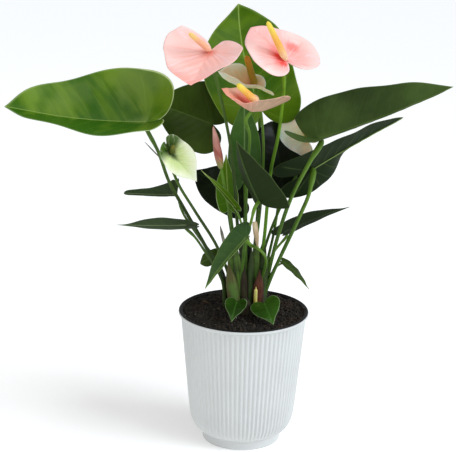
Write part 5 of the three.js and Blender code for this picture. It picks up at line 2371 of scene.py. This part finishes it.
def grown_leaves() -> list[Leaf]:
    """List the grown leaves.

    Returns:
        The leaves, each with its petiole.
    """
    return [
        Leaf(
            "far_left",
            BladeShape((-106, -12, 354), (-249, -30, 372), (0, -0.36, 0.93), 122, fold=(19.46, 31.37),
                       arch=-4.95, wave=3.01, waves=1.65, phase=(1.1, -1.59), lobe=(0.11, 0.19),
                       lobe_lift=(10, -1.7), lobe_spread=(0.42, 0.62), shoulder=(0.21, 0.22),
                       tip_fullness=(0.84, 0.75), waist=(-0.15, 0.3), sides=(0.79, 1)),
            Stalk((-15, 6), 1.9,
                  ((-17, 7, 164), (-38, 10, 206), (-66, 10, 256), (-82, 2, 288), (-93, -7, 322))),
            LeafTone.WIDE, STEM_OLD, knee_below=5.0,
        ),
        Leaf(
            "far_right",
            BladeShape((76, -8, 339), (211, -5, 396), (-0.3, -0.12, 0.95), 100, fold=(36, 8),
                       fold_tip=(36, 20.5), fold_turns=(-0.22, 0.05), arch=-2, wave=0.5,
                       tip_fullness=(0.6, 0), waist=(0.31, -0.03), shoulder=(0.41, 0.08),
                       lobe=(0.12, 0.21), lobe_spread=(0.84, 0.5), lobe_lift=(0, 28), sides=(0.88, 1.07)),
            Stalk((19, 3), 2.1, ((22, -1, 169), (33, -14, 229), (47, -28, 282), (65, -27, 320)), knee=1.45,
                  foot=0.85, top=1.05),
            LeafTone.MATT, knee_below=3.5,
        ),
        Leaf(
            "top_back",
            BladeShape((13, 45, 361), (-12, 115, 460), (0.1, -0.85, 0.5), 98, fold=(14, 14), arch=-3,
                       bend=-5, wave=1.4, lobe=(0.2, 0.2), tip_fullness=(0.55, 0.93), shoulder=(0.25, 0.31),
                       sides=(1.06, 0.98)),
            Stalk((9, 15), 1.7, ((9, 18, 180), (14, 38, 260), (15, 58, 314))),
            LeafTone.BRIGHT,
        ),
        Leaf(
            "back_left",
            BladeShape((-39, 40, 342), (-108, 58, 362), (0, -0.85, 0.5), 84, fold=(10, 10), arch=3,
                       sides=(0.9, 1)),
            Stalk((-8, 19), 1.6, ((-8, 20, 180), (-17, 28, 239), (-28, 40, 300))),
            LeafTone.DARK,
        ),
        Leaf(
            "low_back",
            BladeShape((-4, 58, 257), (-58, 76, 281), (0, -0.9, 0.4), 54, fold=(10, 10), arch=3,
                       tip_fullness=(0.8, 0.4)),
            Stalk((4, 22), 1.5, ((4, 28, 180), (1, 48, 220))),
            LeafTone.SHADED,
        ),
        Leaf(
            "front_upright",
            BladeShape((13, -44, 281), (-12, -60, 348), (0.5, 0.85, 0.2), 64, fold=(7.33, 42), arch=-3,
                       wave=0.4, lobe=(0.19, 0.24), lobe_spread=(0.87, 0.5), shoulder=(0.07, 0.12),
                       tip_fullness=(0.37, 0.2), waist=(0.15, 0), sides=(0.95, 1), lobe_lift=(1.63, 0)),
            Stalk((-5, -9), 1.6, ((-3, -13, 190), (0, -32, 234), (5, -47, 259))),
            LeafTone.UPRIGHT,
        ),
        Leaf(
            "right_folded",
            BladeShape((69, 12, 301), (167, 44, 352), (-0.52, 0.84, 0.15), 62, fold=(6.44, -22.95),
                       fold_tip=(61.42, -31.08), fold_turns=(0.08, 0.5), arch=2, wave=0.8,
                       lobe=(0.33, 0.35), lobe_spread=(0.56, 0.69), sides=(0.93, 1.11),
                       lobe_lift=(11.01, 7.72), shoulder=(-0.1, -0.1), tip_fullness=(0.85, 1.06),
                       waist=(0.23, 0.39)),
            Stalk((17, -5), 2.1,
                  ((24, -7, 175), (38, -10, 211), (55, -11, 252), (65, -7, 276), (68, -3, 288)), knee=1.45,
                  foot=0.85, top=1.05),
            LeafTone.FOLDED, knee_below=3.0,
        ),
        Leaf(
            "back_right",
            BladeShape((39, 44, 283), (26, 62, 341), (0.3, -0.9, 0.3), 54, fold=(14, 14), arch=3,
                       tip_fullness=(0.95, 0.8), shoulder=(0.4, 0.4), lobe=(0.34, 0.34), blunt=0.6,
                       sinus=0.3),
            Stalk((17, 16), 1.5, ((23, 22, 185), (32, 39, 225), (36, 52, 255))),
            LeafTone.SHADED,
        ),
        Leaf(
            "back_centre",
            BladeShape((-2, 20, 294), (-4, 13, 374), (0, -1, 0.1), 36, fold=(14, 14), arch=3,
                       tip_fullness=(0.7, 0.7)),
            Stalk((0, 14), 1.5, ((0, 16, 186), (0, 22, 235), (-1, 26, 268))),
            LeafTone.TEAL,
        ),
        Leaf(
            "low_right",
            BladeShape((43, 18, 229), (111, 14, 260), (-0.3, -0.2, 0.95), 34, fold=(14, 14), arch=2, wave=0.2,
                       lobe=(0.2, 0.04), sides=(1, 0.75)),
            Stalk((17, 10), 1.4, ((20, 12, 175), (31, 17, 206))),
            LeafTone.LOW, knee_below=4.0,
        ),
        Leaf(
            "left_spoon",
            BladeShape((-76, 34, 264), (-131, 26, 267), (0, -0.2, 0.98), 30, fold=(19.8, 44.02), arch=-0.38,
                       wave=0.15, tip_fullness=(1.4, 0.55), blunt=1, waist=(0.85, 0.9),
                       shoulder=(0.5, 0.05), lobe=(0.03, 0.05), lobe_spread=(0.15, 0.23), sides=(0.6, 1.23),
                       lobe_lift=(-4.57, 14.03)),
            Stalk((-16, 13), 1.4, ((-26, 16, 189), (-51, 26, 221), (-68, 33, 245))),
            LeafTone.MUTED, STEM_OLD, knee_below=4.0,
        ),
        Leaf(
            "low_left",
            BladeShape((-64, -8, 242), (-135, -16, 244), (0, -0.2, 0.98), 30, fold=(13.8, 7.4), arch=-0.72,
                       wave=0.15, lobe=(0.21, 0.21), lobe_spread=(0.15, 0.15), shoulder=(0.24, 0.19),
                       tip_fullness=(0, 0.11), waist=(0.01, -0.39), sides=(0.89, 0.97), sinus=0.18),
            Stalk((-20, 1), 1.4, ((-24, 0, 181), (-41, -4, 210), (-54, -7, 230))),
            LeafTone.MUTED, STEM_OLD, knee_below=2.0,
        ),
        Leaf(
            "front_hanging",
            BladeShape((0, -54, 243), (-41, -71, 193), (-0.5, -0.5, 0.7), 48, fold=(40.99, 25.59),
                       arch=2.67, wave=0.4, lobe=(0.07, 0.22), lobe_spread=(0.15, 0.62),
                       shoulder=(0.29, 0.2), tip_fullness=(0, 0.4), waist=(-0.06, 0.32), sides=(0.78, 0.7)),
            Stalk((12, -7), 1.6,
                  ((14, -8, 172), (19, -14, 190), (22, -28, 208), (20, -43, 222), (12, -54, 233))),
            LeafTone.HANGING,
        ),
    ]


def small_leaf_shape(
    attach: Vec, tip: Vec, facing: Vec, width: float, fold: float, lobe: float = 0.24, full: float = 0.2
) -> BladeShape:
    """Give a small leaf its form.

    Args:
        attach: Where its blade begins.
        tip: Its tip.
        facing: Where its upper face looks.
        width: Its width.
        fold: Degrees that both halves rise.
        lobe: Length of its lobes, in blade lengths.
        full: How blunt its tip is.

    Returns:
        The shape.
    """
    return BladeShape(
        attach, tip, facing, width, fold=(fold, fold), arch=2, wave=0.4, lobe=(lobe, lobe),
        tip_fullness=(full, full), edge=0.7, heart=1.2,
    )


def thin_stalk(root: Pair, radius: float, *via: Vec) -> Stalk:
    """Give a thin stalk without a knee its course."""
    return Stalk(root, radius, via, sides=14, foot=1.0, top=1.0, knee=1.0, flare=0.0)


def small_leaves() -> list[SmallLeaf]:
    """List the small leaves.

    Returns:
        The leaves.
    """
    return [
        SmallLeaf(
            "young_left", small_leaf_shape((-30, 25, 199), (-48, 30, 188), (-0.2, -0.8, 0.55), 17, 6,
                                           full=1.0),
            thin_stalk((-14, 20), 1.1, (-22, 22, 176)), LeafTone.DARK,
        ),
        SmallLeaf(
            "young_right", small_leaf_shape((42, 9, 198), (70, 0, 171), (0.6, -0.5, 0.6), 12, 16, 0.12),
            thin_stalk((23, 11), 1.1, (27, 11, 176), (35, 10, 193)), LeafTone.DARK,
        ),
        SmallLeaf(
            "soil_left", small_leaf_shape((-8, -29, 164), (-13, -56, 152.5), (0, -0.5, 0.86), 23, 12, 0.24),
            thin_stalk((-12, -23), 1.1, (-12, -24, 160)), LeafTone.SOIL,
        ),
        SmallLeaf(
            "soil_right", small_leaf_shape((22, -28.5, 163), (31, -57, 150.5), (-0.25, -0.5, 0.83), 32, 10,
                                           0.22),
            thin_stalk((24, -20), 1.1, (24, -21, 160)), LeafTone.SOIL,
        ),
        SmallLeaf(
            "new_bright", small_leaf_shape((-18, 9, 265), (-22, 13, 316), (-0.3, -0.9, 0.2), 26, 20),
            thin_stalk((-6, 13), 1.2, (-8, 13, 190), (-14, 11, 238)), LeafTone.NEW,
        ),
        SmallLeaf(
            "new_narrow", small_leaf_shape((-11, -14, 265), (-48, -8, 303), (-0.3, -0.3, 0.9), 9, 30, 0.12),
            thin_stalk((3, 9), 1.2, (3, 5, 190), (-3, -7, 240)), LeafTone.NEW,
        ),
    ]


def spathe_shape(attach: Vec, tip: Vec, facing: Vec, width: float, **form: object) -> BladeShape:
    """Give a spathe its form.

    Args:
        attach: Where the peduncle meets it.
        tip: Its tip.
        facing: Where its inner face looks.
        width: Its width.
        **form: What differs from a plain spathe.

    Returns:
        The shape.
    """
    plain = {
        "fold": (8, 8), "arch": 5, "curl": 4, "wave": 1.2, "waves": 2, "phase": (0.5, 2.4),
        "lobe": (0.36, 0.36), "lobe_spread": (0.52, 0.52), "shoulder": (0.2, 0.2), "sinus": 0.04,
        "tip_fullness": (0.5, 0.5), "edge": 0.9, "heart": 2.0,
    }
    return BladeShape(attach, tip, facing, width, **{**plain, **form})


# Its heart is partly a painted shadow beside the spadix's foot, and its lavender streaks are partly a painted
# sheen.
PINK = SpatheFinish(
    "spathe_pink", heart="#d8745e", inside="#f0b6ac", edge="#f2c4bd", tip="#f0a498", vein="#e9a094",
    streak_and_sheen="#f3d6de", outside="#e2a595", outside_tip="#e2a595", heart_and_shade_reach=0.32, streak_and_sheen_share=0.6,
)
# Painted light: the heart, mostly on the left half, is partly painted shade in the fold, the spot is painted
# shade in the dimple, and the streaks are partly a painted sheen.
BLUSH = SpatheFinish(
    "spathe_blush", heart="#e8341f", inside="#f2aca4", edge="#f5cec8", tip="#f0b4b0", vein="#e88b80",
    streak_and_sheen="#f3d4e0", outside="#e9b29c", streak_and_sheen_share=0.55, heart_and_shade_from=0.2, heart_and_shade_reach=0.55,
    heart_and_shade_sides=(1, 0.15), edge_from=0.45, spot=(0.165, 0.53, 0.5), dimple_shade_scale=(6.2, 3.9),
)
CUP = SpatheFinish(
    "spathe_cup", heart="#d65844", inside="#e46e58", edge="#f8cab0", tip="#e39a80", vein="#cc705a",
    outside="#b9997d", outside_tip="#e09480", foot="#c99a80", streak_and_sheen="#dcc0a4", streak_and_sheen_share=0.15, gloss=0.38,
)
MILK = SpatheFinish(
    "spathe_milk", heart="#f0d8a8", inside="#ffecc8", edge="#fff0d4", tip="#ffeed0", vein="#f0e0b8",
    streak_and_sheen="#fff8e8", outside="#fdf4e6", outside_tip="#fdf4e6", foot="#e0d8b0", streak_and_sheen_share=0.25, gloss=0.4,
    glow=0.9,
)
CREAM = SpatheFinish(
    "spathe_cream", heart="#c89878", inside="#ffc8a0", edge="#ffdcc0", tip="#fadcc0", vein="#e0b898",
    streak_and_sheen="#f4e8da", outside="#e9dcb0", outside_tip="#f6ecca", foot="#c2b878", streak_and_sheen_share=0.25, gloss=0.4,
    glow=0.9,
)
# Its dark heart is partly painted shade inside the hood.
GREEN = SpatheFinish(
    "spathe_green", heart="#34501a", inside="#cad994", edge="#e4e9cc", tip="#e6ead2", vein="#aabf78",
    streak_and_sheen="#eaeed6", outside="#ccd7a6", outside_tip="#dde4c0", foot="#7f9450", lobes="#3f600f",
    lobe_share=1.0, heart_and_shade_from=0.1, heart_and_shade_reach=0.42, edge_from=0.5, streak_and_sheen_share=0.5, gloss=0.4,
)
# The pit tones are painted shade between the florets.
YELLOW_SPADIX = SpadixFinish("spadix_yellow", foot="#ffd8b8", middle="#fdbd58", tip="#fcee60", pit_shade="#dc9440")
PALE_SPADIX = SpadixFinish("spadix_pale", foot="#ffc8ac", middle="#fcbe9c", tip="#f8da84", pit_shade="#d8946e")
OLIVE_SPADIX = SpadixFinish("spadix_olive", foot="#b0a436", middle="#b69a2a", tip="#dc9a26", pit_shade="#866a22")
# Dark olive tones: painted shade of the hollow that the green spathe's spadix sits in.
SHADED_SPADIX = SpadixFinish("spadix_green", foot="#3e5018", middle="#55621e", tip="#7a7c2c", pit_shade="#34401a")


def blooms() -> list[Bloom]:
    """List the blooms.

    Returns:
        The blooms, each with spathe, spadix and peduncle.
    """
    return [
        Bloom(
            "left", spathe_shape((-40, -20, 430), (-58, -66, 404), (-0.11, -0.46, 0.88), 90, arch=0.04,
                                 curl=-3, fold=(12.81, 9.76), lobe=(0.32, 0.4), sides=(0.81, 0.94),
                                 shoulder=(0.21, 0.36), lobe_spread=(0.26, 0.9), tip_fullness=(0.16, 0.85),
                                 waist=(0.19, 0.27), lobe_lift=(0.48, 2.87)),
            Stalk((-3, 0), 1.7,
                  ((-2, 1, 190), (-8, -2, 236), (-14, -6, 303), (-19, -10, 338), (-32, -18, 396))),
            (-61, -40, 452), PINK, PALE_SPADIX, ("spathe_pink", "spadix_yellow"), thick=3.4, thin=2.1,
            stem=STEM_OLD,
        ),
        Bloom(
            "right", spathe_shape((37, -20, 423), (1, 7, 451), (-0.12, -0.79, 0.6), 66, fold=(31, -21),
                                  dimple=(19.8, 7.5, 1.8), lobe=(0.24, 0.44), lobe_spread=(0.47, 0.61),
                                  tip_fullness=(0.78, 0.7), waist=(0.15, 0.47), shoulder=(0.37, 0.28),
                                  sides=(0.93, 1.07)),
            Stalk((11, 2), 1.8,
                  ((15, 2, 175), (20, -2, 226), (25, -10, 303), (32, -16, 346), (36, -18, 396))),
            (17, -32, 464), BLUSH, YELLOW_SPADIX, ("spathe_pink", "spadix_yellow"), spadix_lift=1.4,
            thick=3.9, thin=2.4, stem=STEM_LIME,
        ),
        Bloom(
            "centre", spathe_shape((3, -34, 373), (-28, -44, 397), (0.3, -0.1, 0.95), 50, fold=(75.01, 42),
                                   fold_tip=(53.99, 30), fold_turns=(-0.1, 0.4), arch=-1.5, curl=2,
                                   lobe=(0.58, 0.14), lobe_lift=(27, 0), lobe_spread=(0.32, 0.5),
                                   shoulder=(-0.07, 0.2), tip_fullness=(0, 0.5), waist=(0.9, 0),
                                   sides=(0.95, 1)),
            Stalk((2, -8), 1.6, ((1, -8, 200), (0, -7, 262), (1, -8, 312), (2, -20, 344))),
            (-12, -37, 401), CUP, YELLOW_SPADIX, ("spathe_pink", "spadix_yellow"), spadix_shift=(6, 0, 6),
            thick=4.2, thin=2.6,
        ),
        Bloom(
            "faded", spathe_shape((7, 8, 389), (-32, 0, 406), (0.1, -0.6, 0.8), 46, fold=(66.96, 49.23),
                                  arch=-6.83, lobe=(0.49, 0.22), lobe_spread=(0.15, 0.15),
                                  shoulder=(0.5, 0.42), tip_fullness=(1.5, 0.52), waist=(-0.4, -0.25),
                                  sides=(1.11, 1.06), lobe_lift=(-5.02, 0)),
            Stalk((5, 7), 1.5, ((9, 9, 190), (16, 11, 267), (17, 12, 330), (12, 11, 370))),
            (-3, 2, 423), CREAM, OLIVE_SPADIX, ("spathe_cream", "spadix_olive"), spadix_lift=1.3, thick=3.7,
            thin=3.0,
        ),
        Bloom(
            "green", spathe_shape((-79, -25, 325), (-52, -36, 298), (0.2, -0.8, 0.6), 56, fold=(73, 46.42),
                                  fold_tip=(30, 25), fold_turns=(0, 0.6), arch=0, curl=6, lobe=(0.33, 0.29),
                                  lobe_spread=(0.15, 0.15), lobe_lift=(13.98, 11.93), shoulder=(0.13, 0.08),
                                  tip_fullness=(0.34, 0.28), sides=(1.1, 0.86), waist=(0.48, 0.19),
                                  sinus=0.24),
            Stalk((-12, -3), 1.6, ((-15, -3, 180), (-30, -8, 220), (-54, -18, 262), (-72, -24, 294))),
            (-76, -40, 336), GREEN, SHADED_SPADIX, ("spathe_green", "spadix_yellow"), stem=STEM_OLD,
            spadix_lift=1.0, florets=220,
        ),
        Bloom(
            "cream", spathe_shape((64, 28, 328), (34, 34, 344), (-0.35, -0.75, 0.55), 34, fold=(10, 10),
                                  arch=3, lobe=(0.3, 0.3), tip_fullness=(1, 1)),
            Stalk((11, 22), 1.5, ((13, 27, 170), (27, 30, 225), (42, 34, 263), (58, 35, 300))),
            (60, 22, 350), MILK, OLIVE_SPADIX, ("spathe_cream", "spadix_olive"), florets=220,
        ),
    ]


def rolled_bud() -> Bud:
    """Describe the bud.

    Returns:
        The bud with its peduncle.
    """
    return Bud(
        (-27, -6, 305), (-36, -6, 350), 4.6,
        ((0.42, 0), (0.72, 0.08), (0.96, 0.24), (1, 0.4), (0.84, 0.6), (0.55, 0.8), (0.2, 0.96)),
        thin_stalk((-8, 7), 1.5, (-9, 6, 200), (-15, 0, 242), (-23, -5, 285)),
    )


def crown() -> Crown:
    """Describe the crown.

    Returns:
        Its scales and its young shoot.
    """
    return Crown(
        [
            soil_scale("left", (-9, -19), (-18, -17, 206), -0.1, 13, 4, SHEATH_OLIVE, "sheath_left"),
            soil_scale("right", (15, -14), (16, -18, 199), 0.1, 12, 3.5, SHEATH_RED, "sheath_right"),
            Scale("bract", scale_shape((8.8, -48, 259), (13, -46, 229), (0, -1, 0.1), 5.2, 0.8), SHEATH_BEIGE,
                  ("bract",)),
            soil_scale("tall", (-4, -14), (-11, -13, 232), -0.2, 10, 4, SHEATH_LIME),
            soil_scale("brown", (1, -17), (-1, -16, 204), 0.1, 8, 3, SHEATH_BROWN),
            soil_scale("middle", (6, -14), (7, -13, 222), 0.1, 9, 4, SHEATH_GREEN),
            soil_scale("outer", (19, -11), (24, -11, 206), 0.4, 10, 3, SHEATH_GREEN),
            soil_scale("inner_left", (-9, -6), (-17, -7, 228), -0.2, 11, 4, SHEATH_LIME),
            soil_scale("inner", (-1, -8), (-3, -8, 238), -0.1, 10, 4, SHEATH_GREEN),
            soil_scale("inner_right", (10, -7), (13, -7, 232), 0.1, 11, 4, SHEATH_LIME),
            soil_scale("wrap", (16, -5), (22, -5, 224), 0.2, 11, 4, SHEATH_GREEN),
            soil_scale("core_left", (-8, 2), (-11, 3, 226), -0.1, 15, 3, SHEATH_DARK),
            soil_scale("core", (3, 2), (3, 3, 232), 0, 16, 3, SHEATH_DARK),
            soil_scale("core_right", (14, 3), (18, 4, 220), 0.1, 15, 3, SHEATH_DARK),
            Scale("rear", scale_shape(on_soil(-6, 20), (-8, 22, 204), (-0.2, 1, 0.1), 15, 4), SHEATH_OLIVE),
            Scale("rear_low", scale_shape(on_soil(9, 22), (11, 23, 190), (0.2, 1, 0.1), 14, 4), SHEATH_RED),
            Scale("thread", scale_shape((-91, -26, 321), (-106, -26, 336.5), (0.4, -0.8, 0.5), 1.1, 0.1),
                  SHEATH_GREY),
            Scale("dry_tip", scale_shape((-22.5, -14, 226), (-27, -14, 245), (0, -1, 0.1), 2.8, 0.3),
                  SHEATH_GREY),
            Scale("stub", scale_shape(on_soil(11, -25, 1), (11, -22, 162), (0, -1, 0.2), 10, 3),
                  SHEATH_BROWN),
            Scale("stub_left", scale_shape(on_soil(2, -24, 1), (1, -22, 170), (0, -1, 0.2), 13, 3),
                  SHEATH_BROWN),
        ],
        Stalk((12, -15), 2.2, (), foot=1.0, top=0.85, knee=0.3, knee_from=0.93, flare=0.0),
        (12.5, -18, 178.5),
    )


def main() -> None:
    """Build the plant and its pots over the frame, in order, and set up the studio."""
    logging.basicConfig(level=logging.INFO, format="%(message)s")
    stems, spadices = StemTree(), SpadixTree()
    for leaf in [*grown_leaves(), *small_leaves()]:
        leaf.build(stems)
    for bloom in blooms():
        bloom.build(stems, spadices)
    rolled_bud().build(stems)
    crown().build(stems)
    SoilBed().build()
    Pots().build(LatheTree())
    Studio().build()


if __name__ == "__main__":
    main()
